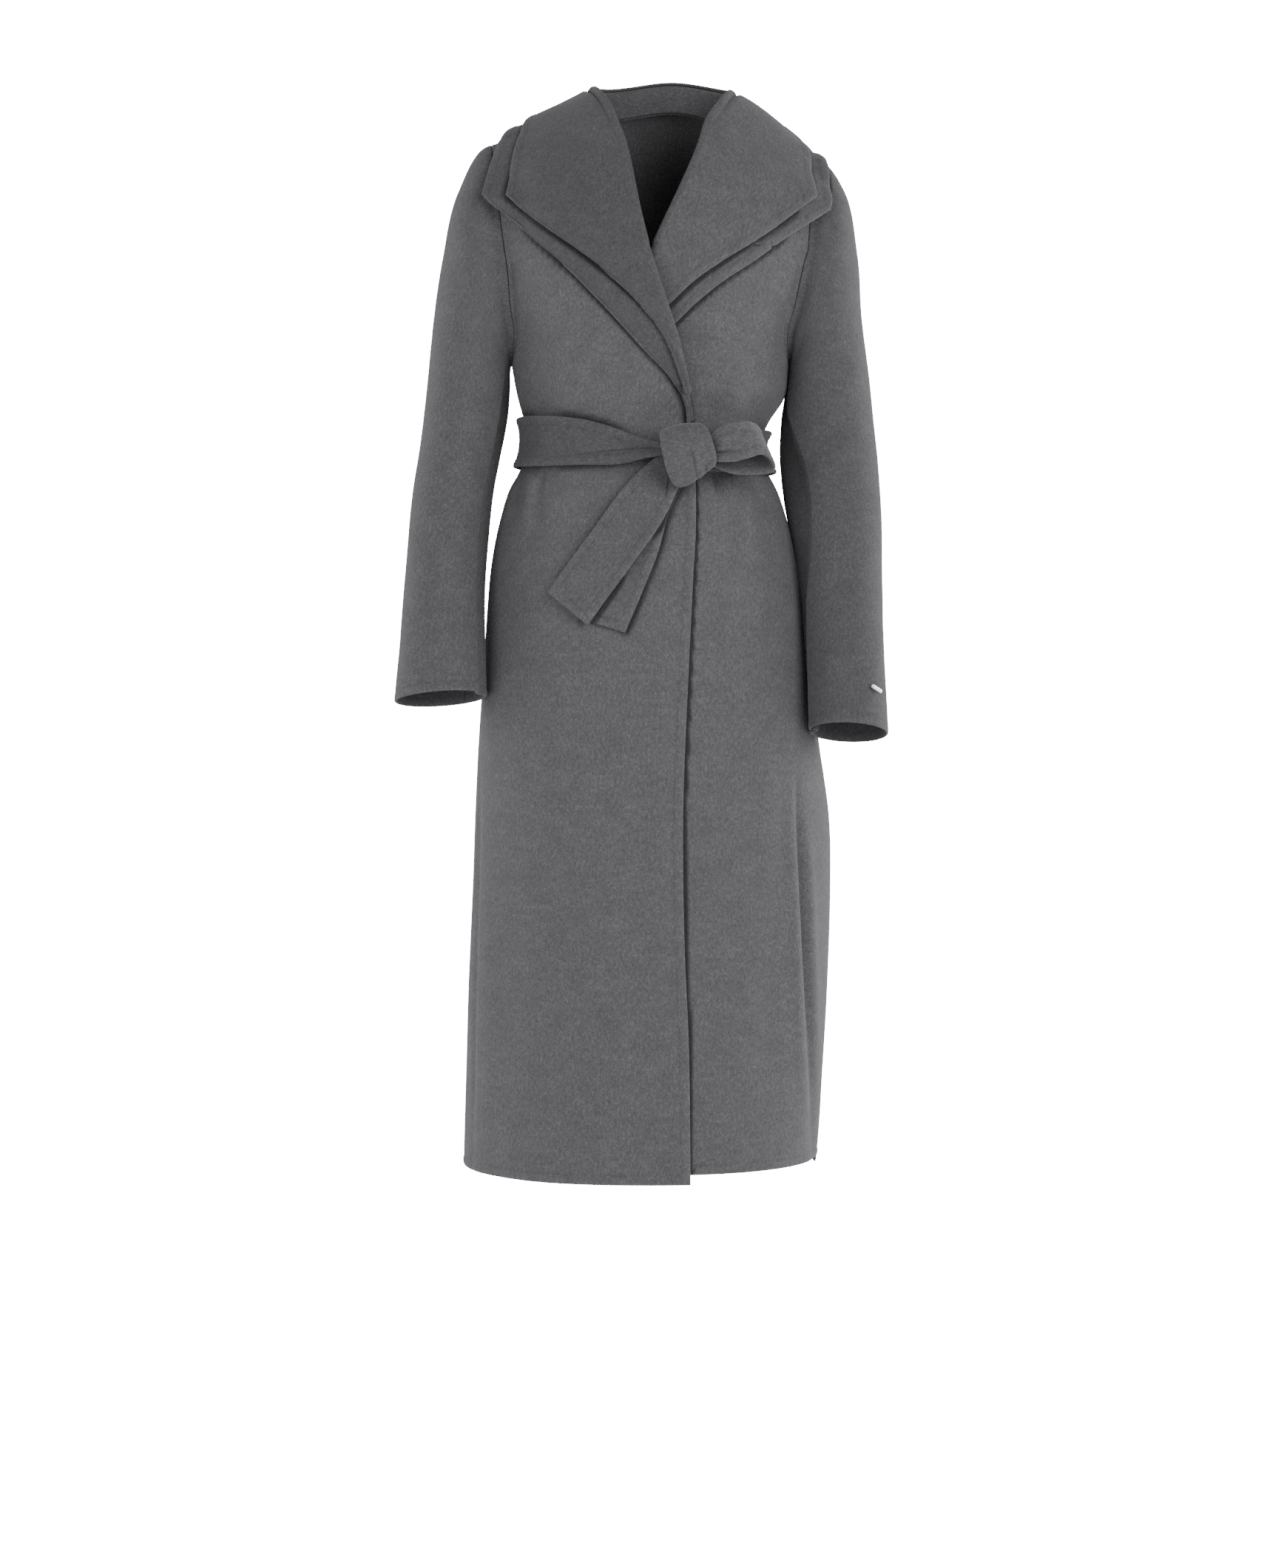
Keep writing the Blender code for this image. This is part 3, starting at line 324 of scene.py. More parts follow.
@dataclass
class Shell:
    """A wall of cloth over a grid of points, with rounded edges and its own measured UV map.

    Attributes:
        name: The object's name.
        grid: Points of the wall's middle, in rows and columns.
        core: A point that the outer face looks away from, or None for the middle of each row.
        thick: The wall's thickness.
        edges: The finish of the first row, the last row, the first column and the last column.
        closed: Whether the last column joins the first.
        plump: How much thicker a turned edge is, on each face.
        plumb: The x, in the scene, where the grain hangs plumb, or None to use plumb_share.
        plumb_share: The column, as a share of them, where the grain hangs plumb.
        level: The row where the grain starts.
        nap: Painted shade as nap lying the other way, 0 to 1, at the first row and at the last.
    """

    name: str
    grid: Array
    core: Array | None = None
    thick: float = CLOTH
    edges: tuple[Finish, Finish, Finish, Finish] = (Finish.TURNED,) * 4
    closed: bool = False
    plump: float = 0.45
    plumb: float | None = None
    plumb_share: float = 0.5
    level: int = 0
    nap: tuple[float, float] = (0.0, 0.0)

    def cut_map(self) -> Array:
        """Each point's place on the cut cloth: its lengths along row and column from plumb line and level.

        The length at the plumb line is the sum of a row's steps, each times the share of it before that x.

        Returns:
            Places in millimetres, u and v.
        """
        across, down = lengths_along(self.grid, 1), lengths_along(self.grid, 0)
        if self.plumb is None:
            start = across[:, round(self.plumb_share * (across.shape[1] - 1))]
        else:
            x, steps = self.grid[..., 0], np.diff(across, axis=1)
            width = np.diff(x, axis=1)
            width = np.where(np.abs(width) < 1e-6, 1e-6, width)
            start = (steps * np.clip((self.plumb - x[:, :-1]) / width, 0.0, 1.0)).sum(axis=1)
        return np.stack([across - start[:, None], down - down[self.level]], axis=-1).reshape(-1, 2)

    def finish(self) -> Array:
        """The distance to the nearest turned edge and to the nearest edge of all, for each point."""
        down, right = lengths_along(self.grid, 0), lengths_along(self.grid, 1)
        spans = [down, down[-1:] - down, right, right[:, -1:] - right]
        if self.closed:
            spans = spans[:2]
        far = np.full(down.shape, 1e3)
        turned, nearest = far, far
        for span, finish in zip(spans, self.edges):
            nearest = np.minimum(nearest, span)
            if finish is Finish.TURNED:
                turned = np.minimum(turned, span)
        return np.stack([turned, nearest])

    def build(self) -> bpy.types.Object:
        """Makes the closed wall.

        Half the thickness at a distance s from an edge is the nose of an ellipse, sqrt(1 - (1 - s/r)^2), and a
        turned edge is plump by a bell at TURN and pressed in by a narrow bell on its stitched line.

        Returns:
            The object, at the origin, with its points in metres.
        """
        self.grid = with_rims(self.grid, self.closed)
        turned, nearest = self.finish()
        nose = np.sqrt(1 - (1 - np.clip(nearest / (self.thick / 2), BLUNT, 1.0)) ** 2)
        puff = self.plump * bell((turned - TURN) / TURN_SPREAD)
        puff = puff - STITCH_DEPTH * bell((turned - STITCH) / STITCH_SPREAD)
        half = (self.thick / 2 + puff) * nose
        normals, flipped = grid_normals(self.grid, self.core, self.closed)
        outer, inner = self.grid + normals * half[..., None], self.grid - normals * half[..., None]
        rows, cols = self.grid.shape[:2]
        index, inside = numbered(rows, cols, self.closed), rows * cols
        loops = [index[0, :], index[-1, ::-1]]
        if not self.closed:
            loops += [index[::-1, 0], index[:, -1]]
        rims = [
            np.stack([loop[1:], loop[:-1], loop[:-1] + inside, loop[1:] + inside], axis=-1) for loop in loops
        ]
        faces = quads(index)
        faces = np.concatenate([faces, faces[:, ::-1] + inside, *rims])
        if flipped:
            faces = faces[:, ::-1]
        points = np.concatenate([outer.reshape(-1, 3), inner.reshape(-1, 3)])
        uv = self.cut_map() + CUT_APART * (len(self.name) + ord(self.name[-1]))
        # Painted shade: a darkening share for each row, given as nap lying the other way; the edge distance drives
        # the painted rim highlight and stitch shade.
        nap = np.broadcast_to(np.interp(np.linspace(0, 1, rows), (0.5, 1.0), self.nap)[:, None], (rows, cols))
        marks = {"edge": np.tile(turned.reshape(-1), 2) * MM, "nap": np.tile(nap.reshape(-1), 2)}
        return mesh_object(self.name, points, faces, np.concatenate([uv, uv]), marks)


def mesh_object(
    name: str, points: Array, faces: Array, uv: Array, marks: dict[str, Array]
) -> bpy.types.Object:
    """A smooth mesh object with a UV map in metres and attributes of its points.

    Args:
        name: The object's name.
        points: Points in millimetres.
        faces: Quads as point numbers.
        uv: Each point's place on the cut cloth, in millimetres.
        marks: Each attribute's name and its value at each point.

    Returns:
        The object, linked to the scene's collection.
    """
    mesh = bpy.data.meshes.new(name)
    mesh.vertices.add(len(points))
    mesh.vertices.foreach_set("co", (points * MM).astype(np.float32).ravel())
    mesh.loops.add(faces.size)
    mesh.loops.foreach_set("vertex_index", faces.astype(np.int32).ravel())
    mesh.polygons.add(len(faces))
    mesh.polygons.foreach_set("loop_start", np.arange(0, faces.size, 4, dtype=np.int32))
    mesh.polygons.foreach_set("loop_total", np.full(len(faces), 4, np.int32))
    mesh.update(calc_edges=True)
    mesh.uv_layers.new(name="cut").data.foreach_set("uv", (uv * MM)[faces.ravel()].astype(np.float32).ravel())
    for mark, values in marks.items():
        mesh.attributes.new(mark, "FLOAT", "POINT").data.foreach_set("value", values.astype(np.float32))
    mesh.shade_smooth()
    mesh.validate()
    obj = bpy.data.objects.new(name, mesh)
    bpy.context.scene.collection.objects.link(obj)
    return obj


# ---------------------------------------------------------------------------------------------- finishes


def linear(code: str) -> tuple[float, float, float, float]:
    """An sRGB hex colour as a linear one with alpha 1."""
    parts = [int(code[i : i + 2], 16) / 255 for i in (0, 2, 4)]
    return (*[p / 12.92 if p <= 0.04045 else ((p + 0.055) / 1.055) ** 2.4 for p in parts], 1.0)


def grey(level: float) -> tuple[float, float, float, float]:
    """A linear grey, or a tone that a colour is multiplied by, with alpha 1."""
    return (level, level, level, 1.0)


def new_material(name: str) -> tuple[bpy.types.Material, bpy.types.NodeTree, bpy.types.Node]:
    """A new material, with its node tree and its shader."""
    material = bpy.data.materials.new(name)
    material.use_nodes = True
    return material, material.node_tree, material.node_tree.nodes["Principled BSDF"]


def add_node(
    tree: bpy.types.NodeTree, kind: str, links: dict | None = None, **settings: object
) -> bpy.types.Node:
    """Adds a node, sets its properties and sockets, and links its inputs.

    Args:
        tree: The node tree.
        kind: The node's type name.
        links: Input name or number to the output socket that feeds it.
        settings: Property names to values; a name starting with in_ sets that input, _ standing for spaces.

    Returns:
        The node.
    """
    node = tree.nodes.new(kind)
    for key, value in settings.items():
        if not key.startswith("in_"):
            setattr(node, key, value)
    for key, value in settings.items():
        if key.startswith("in_"):
            name = key[3:]
            socket = node.inputs[int(name)] if name.isdigit() else node.inputs[name.replace("_", " ")]
            socket.default_value = value
    for key, output in (links or {}).items():
        tree.links.new(output, node.inputs[key])
    return node


@dataclass(frozen=True)
class BrushedWool:
    """Double-faced melton: milled and brushed wool, with no weave to see, only short matted mixed grey fibres.

    Attributes:
        name: The material's name.
        dark: The darkest fibres.
        body: The cloth's usual grey.
        light: The lightest fibres.
        against: What is left of the colour in painted shade, given as nap lying the other way.
        pressed: What is left of the colour in the painted contact shadow beside another piece's edge.
        rim: The turned edge's tone by distance: painted highlight on its rim, painted shade on its stitching.
        fibre_mm: The width of a tuft of fibres, drawn coarse enough to show from a step away.
        lie: How much shorter a tuft is drawn across its own way than along it.
        cloud_mm: The size of the patches where the nap lies another way.
        noises: The detail, roughness and distortion of the fibres, the tufts and the patches.
        tuft_size: A tuft's pattern against a fibre's, as a scale.
        tuft_share: How much of the fine pattern is tufts.
        cloud_share: How much of the whole pattern is patches.
        stops: Where the darkest, the usual and the lightest grey lie in the pattern.
        raised: The nap's bump, as its strength and its height in metres.
    """

    name: str = "brushed_wool"
    dark: str = "3e3d40"
    body: str = "4f4e50"
    light: str = "646367"
    against: float = 0.74
    pressed: float = 0.3
    rim: tuple = ((0.0, 1.12), (0.0025, 1.05), (0.0085, 1.0), (0.0105, 0.88), (0.0125, 1.0))
    fibre_mm: float = 1.3
    lie: float = 0.5
    cloud_mm: float = 22.0
    noises: tuple = ((4.0, 0.62, 0.3), (3.0, 0.6, 0.2), (3.0, 0.55, 0.4))
    tuft_size: float = 0.42
    tuft_share: float = 0.4
    cloud_share: float = 0.14
    stops: tuple = (0.34, 0.5, 0.66)
    raised: tuple = (0.55, 0.0006)

    def make(self) -> bpy.types.Material:
        """Returns the material: mixed fibre greys, a soft nap in bump and a sheen of loose fibre ends."""
        material, tree, shader = new_material(self.name)
        cut = add_node(tree, "ShaderNodeUVMap", uv_map="cut")
        per_m = 1000.0 / self.fibre_mm
        stretch = add_node(
            tree, "ShaderNodeMapping", {"Vector": cut.outputs["UV"]}, in_Scale=(per_m, per_m * self.lie, 1.0)
        )
        along, plain = stretch.outputs["Vector"], cut.outputs["UV"]
        scales = ((along, 1.0), (along, self.tuft_size), (plain, 1000.0 / self.cloud_mm))
        fibre, tufts, clouds = [
            add_node(
                tree, "ShaderNodeTexNoise", {"Vector": place}, in_Scale=scale, in_Detail=detail,
                in_Roughness=roughness, in_Distortion=distortion,
            ).outputs["Fac"]
            for (place, scale), (detail, roughness, distortion) in zip(scales, self.noises)
        ]
        fine = add_node(tree, "ShaderNodeMix", {2: fibre, 3: tufts}, data_type="FLOAT", in_0=self.tuft_share)
        mixed = add_node(
            tree, "ShaderNodeMix", {2: fine.outputs[0], 3: clouds}, data_type="FLOAT", in_0=self.cloud_share
        )
        ramp = add_node(tree, "ShaderNodeValToRGB", {"Fac": mixed.outputs[0]})
        stops = ramp.color_ramp.elements
        stops[0].position, stops[0].color = self.stops[0], linear(self.dark)
        stops[1].position, stops[1].color = self.stops[2], linear(self.light)
        stops.new(self.stops[1]).color = linear(self.body)
        strength, height = self.raised
        bump = add_node(
            tree, "ShaderNodeBump", {"Height": fine.outputs[0]}, in_Strength=strength, in_Distance=height
        )
        colour = ramp.outputs["Color"]
        # Painted shade: whole pieces darkened, given as nap lying the other way, and painted contact shadows where
        # another piece's edge lies on the cloth.
        for mark, left in (("nap", self.against), ("pressed", self.pressed)):
            place = add_node(tree, "ShaderNodeAttribute", attribute_name=mark)
            colour = add_node(
                tree, "ShaderNodeMix", {0: place.outputs["Fac"], 6: colour}, data_type="RGBA",
                blend_type="MULTIPLY", in_7=grey(left),
            ).outputs[2]
        # Painted highlight on the turned edge's rim and painted shade on its stitched line, by distance to the
        # edge.
        edge = add_node(tree, "ShaderNodeAttribute", attribute_name="edge")
        span = self.rim[-1][0]
        share = add_node(tree, "ShaderNodeMath", {0: edge.outputs["Fac"]}, operation="DIVIDE", in_1=span)
        tone = add_node(tree, "ShaderNodeValToRGB", {"Fac": share.outputs[0]})
        levels = tone.color_ramp.elements
        levels[0].color, levels[1].color = grey(self.rim[0][1]), grey(self.rim[-1][1])
        for distance, level in self.rim[1:-1]:
            levels.new(distance / span).color = grey(level)
        lit_and_shaded_edge = add_node(
            tree, "ShaderNodeMix", {6: colour, 7: tone.outputs["Color"]}, data_type="RGBA",
            blend_type="MULTIPLY", in_0=1.0,
        )
        tree.links.new(lit_and_shaded_edge.outputs[2], shader.inputs["Base Color"])
        tree.links.new(bump.outputs["Normal"], shader.inputs["Normal"])
        shader.inputs["Roughness"].default_value = 0.94
        shader.inputs["Specular IOR Level"].default_value = 0.18
        shader.inputs["Sheen Weight"].default_value = 0.22
        shader.inputs["Sheen Roughness"].default_value = 0.55
        shader.inputs["Sheen Tint"].default_value = linear("c9c8ce")
        return material


@dataclass(frozen=True)
class PolishedSteel:
    """Stainless steel, stamped and tumbled: bright, with a little haze from the tumbling.

    Attributes:
        name: The material's name.
        colour: The metal's colour.
        marks_per_m: How many tumbling marks lie in a metre, at about 0.6 mm each.
        haze: The least and the greatest roughness.
        dents: The marks' bump, as its strength and its height in metres.
    """

    name: str = "tumbled_stainless_steel"
    colour: str = "d9d9dc"
    marks_per_m: float = 1600.0
    haze: tuple = (0.2, 0.38)
    dents: tuple = (0.15, 0.0001)

    def make(self) -> bpy.types.Material:
        """Returns the material: a metal whose roughness wavers over its tumbling marks."""
        material, tree, shader = new_material(self.name)
        place = add_node(tree, "ShaderNodeTexCoord")
        marks = add_node(
            tree, "ShaderNodeTexNoise", {"Vector": place.outputs["Object"]}, in_Scale=self.marks_per_m,
            in_Detail=2.0,
        )
        least, greatest = self.haze
        smudge = marks.outputs["Fac"]
        haze = add_node(tree, "ShaderNodeMapRange", {"Value": smudge}, in_3=least, in_4=greatest)
        strength, height = self.dents
        bump = add_node(
            tree, "ShaderNodeBump", {"Height": marks.outputs["Fac"]}, in_Strength=strength, in_Distance=height
        )
        tree.links.new(haze.outputs["Result"], shader.inputs["Roughness"])
        tree.links.new(bump.outputs["Normal"], shader.inputs["Normal"])
        shader.inputs["Base Color"].default_value = linear(self.colour)
        shader.inputs["Metallic"].default_value = 1.0
        return material


@dataclass(frozen=True)
class MattPaper:
    """Seamless studio paper: matt, pale and without grain at this distance.

    Attributes:
        name: The material's name.
        colour: The paper's colour.
        glow: How bright the overlit paper shows.
    """

    name: str = "seamless_paper"
    colour: str = "fafafa"
    glow: float = 18.0

    def make(self) -> bpy.types.Material:
        """Returns the material, which shows as overlit paper but lights nothing beyond its own reflection."""
        material, tree, shader = new_material(self.name)
        shader.inputs["Base Color"].default_value = linear(self.colour)
        shader.inputs["Roughness"].default_value = 0.9
        over = add_node(tree, "ShaderNodeEmission", in_Color=linear("ffffff"), in_Strength=self.glow)
        seen = add_node(tree, "ShaderNodeLightPath")
        mixed = add_node(
            tree, "ShaderNodeMixShader",
            {0: seen.outputs["Is Camera Ray"], 1: shader.outputs[0], 2: over.outputs[0]},
        )
        tree.links.new(mixed.outputs[0], tree.nodes["Material Output"].inputs["Surface"])
        return material


# ---------------------------------------------------------------------------------------------- the body


@dataclass
class BodyForm:
    """The form that the back and the fronts are cut to: rings that close over the shoulders.

    A ring is x = middle + reach q, y = side + (depth - side) (1 - |q|^(2/e))^(e/2), where q runs from -1 at the
    wearer's right side to 1 at the left. Above the bust line the depth closes to the shoulder line by
    sqrt(1 - g^2), g being the share of the rise.

    Attributes:
        middle_x: The x where every ring has its middle.
        bust_z: The height of the bust line, above which the rings close.
        underarm_z: The height of the armholes' lowest point.
        hem_z: The height of the hem.
        under_hem_z: The height of the left front's hem, which lies a little higher.
        belt_z: The height of the belt.
        round_off: The power e of the rings, 1 for an ellipse and less for a fuller one.
        arm_mid_y: The y of the side seams and of the armholes' middle.
        arm_half_y: Half the armholes' depth.
        shoulder_y: The y of the shoulder line.
        neck_back_y: The y of the back's neck edge in its middle.
        neck_fade: The power of the neck edge's round at the top, what is added to it below, and its limit.
        shoulder_place: q at the shoulder points.
        nape: q up to which the shoulder line is rounded behind the neck.
        usual_reach: A usual reach to the right and to the left, for the way outward.
        shoulder: Each shoulder point's x and z.
        neck: Each neck point's x and z.
        rings: The rings, from the hem up.
        folds: The large folds of the front and the back.
        fold_lead: Where a fold is fullest, above the belt and below it: over 1 is nearer its bottom.
        outer_edge: The right front's edge, from the hem up to where the roll line starts.
        under_edge: The left front's edge.
        stand_off: How far the right front lies off the left one.
        lap_side: q where the right front starts to stand off, and how far on it does so fully.
        row_z: Heights that the rows pass through.
        row_step: The greatest height of a row below the arms.
        arm_degrees: The degrees of the armhole's half circle below the bust line where rows start and end.
        arm_step: The greatest step between them.
        crown_degrees: The degrees of the rise above the bust line, whose share is their sine.
        crown_step: The greatest step between them.
    """

    middle_x: float = -4.0
    bust_z: float = -160.0
    underarm_z: float = -284.0
    hem_z: float = -1193.0
    under_hem_z: float = -1183.0
    belt_z: float = -380.0
    round_off: float = 0.9
    arm_mid_y: float = 2.0
    arm_half_y: float = 66.0
    shoulder_y: float = 6.0
    neck_back_y: float = 62.0
    neck_fade: tuple = (0.5, 5.0, 2.2)
    shoulder_place: float = 0.93
    nape: float = 0.32
    usual_reach: tuple = (190.0, 180.0)
    shoulder: ClassVar[dict] = {Side.RIGHT: (-185.0, -31.0), Side.LEFT: (181.0, -44.0)}
    neck: ClassVar[dict] = {Side.RIGHT: (-64.0, 1.5), Side.LEFT: (82.0, -2.0)}
    rings: tuple = (
        # z, right side, left side, front, back
        (-1193, -216, 184, -150, 150), (-1117, -214, 189, -149, 149), (-1000, -210, 196, -147, 147),
        (-880, -205, 200, -145, 145), (-800, -203, 199, -143, 144), (-711, -199, 187, -140, 142),
        (-626, -193, 177.5, -136, 139), (-560, -189, 170.5, -132, 136), (-515, -185, 163, -128, 132),
        (-457, -174, 150, -120, 123), (-425, -164, 139, -113, 111), (-402, -151, 127, -106, 102),
        (-372, -146, 121, -105, 101), (-348, -147, 130, -107, 102), (-321, -154, 147.5, -114, 110),
        (-284, -161, 153, -117, 116), (-250, -166, 159, -117, 119), (-222, -177, 174, -117, 121),
        (-160, -193, 200, -115, 121),
    )
    folds: tuple = (
        # side, q, half width, top z, bottom z, height (below 0 is a trough)
        ("front", -0.93, 0.05, -404, -520, -3.0),
        ("front", -0.84, 0.05, -404, -500, 2.5),
        ("front", -0.74, 0.06, -404, -540, -3.0),
        ("front", 0.56, 0.07, -410, -540, -4.5),
        ("front", 0.7, 0.06, -404, -520, 3.0),
        ("front", 0.82, 0.06, -404, -540, -3.5),
        ("front", 0.62, 0.14, -280, -352, 5.0),
        ("front", -0.6, 0.14, -290, -350, 3.0),
        ("front", 0.84, 0.1, -800, -1260, 4.0),
        ("front", -0.92, 0.06, -800, -1260, 2.5),
        ("back", -0.7, 0.09, -404, -620, -5.0),
        ("back", -0.42, 0.09, -404, -560, 3.5),
        ("back", -0.16, 0.08, -404, -660, -5.0),
        ("back", 0.12, 0.08, -404, -540, 3.0),
        ("back", 0.38, 0.09, -404, -640, -5.5),
        ("back", 0.66, 0.09, -404, -600, 3.5),
        ("back", -0.5, 0.2, -270, -350, 5.0),
        ("back", 0.45, 0.2, -275, -350, 6.0),
        ("back", -0.45, 0.16, -760, -1400, -6.0),
        ("back", 0.35, 0.16, -820, -1400, -7.0),
        ("back", 0.75, 0.1, -800, -1350, 4.0),
    )
    outer_edge: tuple = (
        # z, x
        (-1193, 38.5), (-1035, 36.5), (-942, 32.6), (-788, 31), (-622, 37.5), (-535, 41.7), (-469, 45),
        (-421, 44.5), (-360, 39.5), (-341, 37), (-312, 31.5), (-290, 25.5), (-210, 2.5), (-163, -12),
    )
    under_edge: tuple = (
        # z, x
        (-1193, -80), (-700, -82), (-457, -85), (-341, -62), (-250, -27), (-163, 6),
    )
    stand_off: tuple = (
        # z, distance of the outer front from the under one
        (-1193, 5.2), (-420, 5.2), (-350, 6.2), (-310, 10), (-265, 16.5), (-225, 19), (-195, 18),
        (-150, 14), (-90, 5), (-40, 0), (20, 0),
    )
    fold_lead: tuple = (1.3, 0.6)
    lap_side: tuple = (-0.86, 0.34)
    row_z: tuple = (
        -1090, -960, -830, -720, -630, -555, -495, -450, -424, -403, -387, -371, -355, -340, -320, -301,
    )
    row_step: float = 5.0
    arm_degrees: tuple = (89.0, 0.001)
    arm_step: float = 3.0
    crown_degrees: tuple = (0.0, 90.0)
    crown_step: float = 2.2

    def ring_value(self, index: int, z: Array) -> Array:
        """One measure of the ring at a height: 1 right, 2 left, 3 front, 4 back."""
        return read(self.rings, np.minimum(z, self.bust_z), index)

    def depth(self, name: str, z: Array) -> Array:
        """The y of the ring's middle in the front or the back."""
        return self.ring_value(3 if name == "front" else 4, z)

    def neck_place(self, side: Side) -> float:
        """The size of q at the neck point."""
        neck, shoulder = self.neck[side][0], self.shoulder[side][0]
        return self.shoulder_place * (neck - self.middle_x) / (shoulder - self.middle_x)

    def neck_middle(self) -> float:
        """q in the middle between the neck points."""
        return (self.neck_place(Side.LEFT) - self.neck_place(Side.RIGHT)) / 2

    def top_z(self, q: Array) -> Array:
        """The shoulder line's height at q: straight to the neck points and rounded between them by q^2."""
        q = np.asarray(q, float)
        away = np.where(np.abs(q) < self.nape, (self.nape + q * q / self.nape) / 2, np.abs(q))
        heights = []
        for side in Side:
            shoulder_z, neck_z = self.shoulder[side][1], self.neck[side][1]
            way = (self.shoulder_place - away) / (self.shoulder_place - self.neck_place(side))
            heights.append(shoulder_z + (neck_z - shoulder_z) * way)
        blend = ease(q / 0.5 + 0.5)
        return heights[0] * (1 - blend) + heights[1] * blend

    def half_width(self, side: Side, z: Array, share: Array) -> Array:
        """The ring's reach to one side, which goes over to the shoulder point above the bust line."""
        reach = self.ring_value(1 if side < 0 else 2, z) - self.middle_x
        return reach * (1 - share) + (self.shoulder[side][0] - self.middle_x) / self.shoulder_place * share

    def arm_place(self, name: str, z: Array, share: Array) -> Array:
        """The size of q where the armhole lies: a half circle below the bust line, straight above."""
        below = np.clip((self.bust_z - z) / (self.bust_z - self.underarm_z), 0.0, 1.0)
        deep = np.abs(self.depth(name, z) - self.arm_mid_y)
        power = 2 / self.round_off
        low = (1 - (self.arm_half_y * np.sqrt(1 - below**2) / deep) ** power) ** (1 / power)
        return np.where(z <= self.underarm_z, 1.0, low) * (1 - share) + self.shoulder_place * share

    def outward(self, points: Array, name: str) -> Array:
        """The level direction away from the body's middle."""
        deep = np.abs(self.depth(name, points[..., 2]))
        reach = np.where(points[..., 0] < self.middle_x, *self.usual_reach)
        flat = [(points[..., 0] - self.middle_x) / reach**2, points[..., 1] / deep**2, 0 * deep]
        return unit(np.stack(flat, axis=-1))

    def fold_height(self, name: str, q: Array, z: Array) -> Array:
        """The large folds' rise: each a bell across and a squared sine along its length."""
        total = np.zeros(np.broadcast(q, z).shape)
        for side, place, half, top, bottom, height in self.folds:
            if side == name:
                lead = self.fold_lead[0 if top > self.belt_z else 1]
                along = np.clip((top - z) / (top - bottom), 0.0, 1.0) ** lead
                total = total + height * bell((q - place) / half) * np.sin(np.pi * along) ** 2
        return total

    def points(self, name: str, q: Array, z: Array) -> Array:
        """Points of the front or back at the places q and heights z."""
        q, z = np.broadcast_arrays(np.asarray(q, float), np.asarray(z, float))
        share = np.clip((z - self.bust_z) / (self.top_z(q) - self.bust_z), 0.0, 1.0)
        reach = np.where(q < 0, -self.half_width(Side.RIGHT, z, share), self.half_width(Side.LEFT, z, share))
        x = self.middle_x + reach * q
        power = 2 / self.round_off
        bulge = np.maximum(1 - np.abs(q) ** power, 0.0) ** (1 / power)
        y = self.arm_mid_y + (self.depth(name, z) - self.arm_mid_y) * bulge
        rest = np.full(q.shape, self.shoulder_y)
        if name == "back":
            across = (q - self.neck_middle()) / (self.neck_place(Side.LEFT) - self.neck_middle())
            least, more, most = self.neck_fade
            fade = np.clip(least + more * (1 - share), least, most)
            rest = rest + (self.neck_back_y - self.shoulder_y) * np.clip(1 - across**2, 0.0, 1.0) ** fade
        y = rest + (y - rest) * np.sqrt(np.clip(1 - share**2, 0.0, 1.0))
        points = np.stack([x, y, z], axis=-1)
        return points + self.outward(points, name) * self.fold_height(name, q, z)[..., None]

    def place_of(self, x: Array, z: Array, share: Array = 0.0) -> Array:
        """q for an x."""
        side = np.where(x < self.middle_x, -1, 1)
        right, left = self.half_width(Side.RIGHT, z, share), self.half_width(Side.LEFT, z, share)
        reach = np.where(side < 0, right, left)
        return side * np.abs((x - self.middle_x) / reach)

    def turn_of(self, q: Array) -> Array:
        """The even parameter along a ring for q."""
        return np.sign(q) * np.arcsin(np.minimum(np.abs(q), 1.0) ** (1 / self.round_off)) * 2 / np.pi

    def place_at(self, turn: Array) -> Array:
        """q for the even parameter along a ring."""
        return np.sign(turn) * np.sin(np.abs(turn) * np.pi / 2) ** self.round_off

    def rows(self, hem: float) -> tuple[Array, Array]:
        """Heights and shares of the rise for a panel's rows, from the hem up."""
        heights = subdivided((hem, *self.row_z, self.underarm_z), self.row_step)
        arm = np.sin(np.radians(subdivided(self.arm_degrees, self.arm_step)))
        crown = np.sin(np.radians(subdivided(self.crown_degrees, self.crown_step)))
        round_arm = self.bust_z - (self.bust_z - self.underarm_z) * arm
        low = np.concatenate([heights[heights < self.underarm_z], round_arm])
        z = np.concatenate([low, np.full(len(crown), self.bust_z)])
        return z, np.concatenate([np.zeros(len(low)), crown])

    def edge_turn(self, side: Side, z: Array, share: Array) -> Array:
        """The turn of a front's edge: from its table below the crossing, on the roll line above it."""
        table = self.outer_edge if side is Side.RIGHT else self.under_edge
        low = self.turn_of(self.place_of(read(table, z), z))
        start = float(self.place_of(table[-1][1], self.bust_z))
        foot_side = Side.RIGHT if start < 0 else Side.LEFT
        foot = start * abs(float(self.half_width(foot_side, self.bust_z, 0.0)))
        out = foot * (1 - share) + (self.neck[side][0] - self.middle_x) * share
        high = self.turn_of(out / np.abs(self.half_width(side, np.full(z.shape, self.bust_z), share)))
        return np.where(share > 0, high, low)

    def panel(self, name: str, z: Array, share: Array, turns: Array) -> Array:
        """A panel's points at rows (z, share) and turns given for each row."""
        q = self.place_at(turns)
        height = z[:, None] + (self.top_z(q) - self.bust_z) * share[:, None]
        grid = self.points(name, q, height)
        for end, inner in ((0, 1), (-1, -2)):
            grid[:, end] += unit(grid[:, inner] - grid[:, end]) * TOUCH
        grid[-1] += unit(grid[-2] - grid[-1]) * TOUCH
        return grid

    def front(self, side: Side, cols: int) -> Array:
        """One front, from its side seam to its front edge."""
        z, share = self.rows(self.hem_z if side is Side.RIGHT else self.under_hem_z)
        start = self.turn_of(side * self.arm_place("front", z, share))
        end = self.edge_turn(side, z, share)
        places = start[:, None] + (end - start)[:, None] * np.linspace(0, 1, cols)
        grid = self.panel("front", z, share, places)
        by = self.lap(side, self.place_of(grid[..., 0], grid[..., 2]), grid[..., 2])
        return grid + self.outward(grid, "front") * by[..., None]

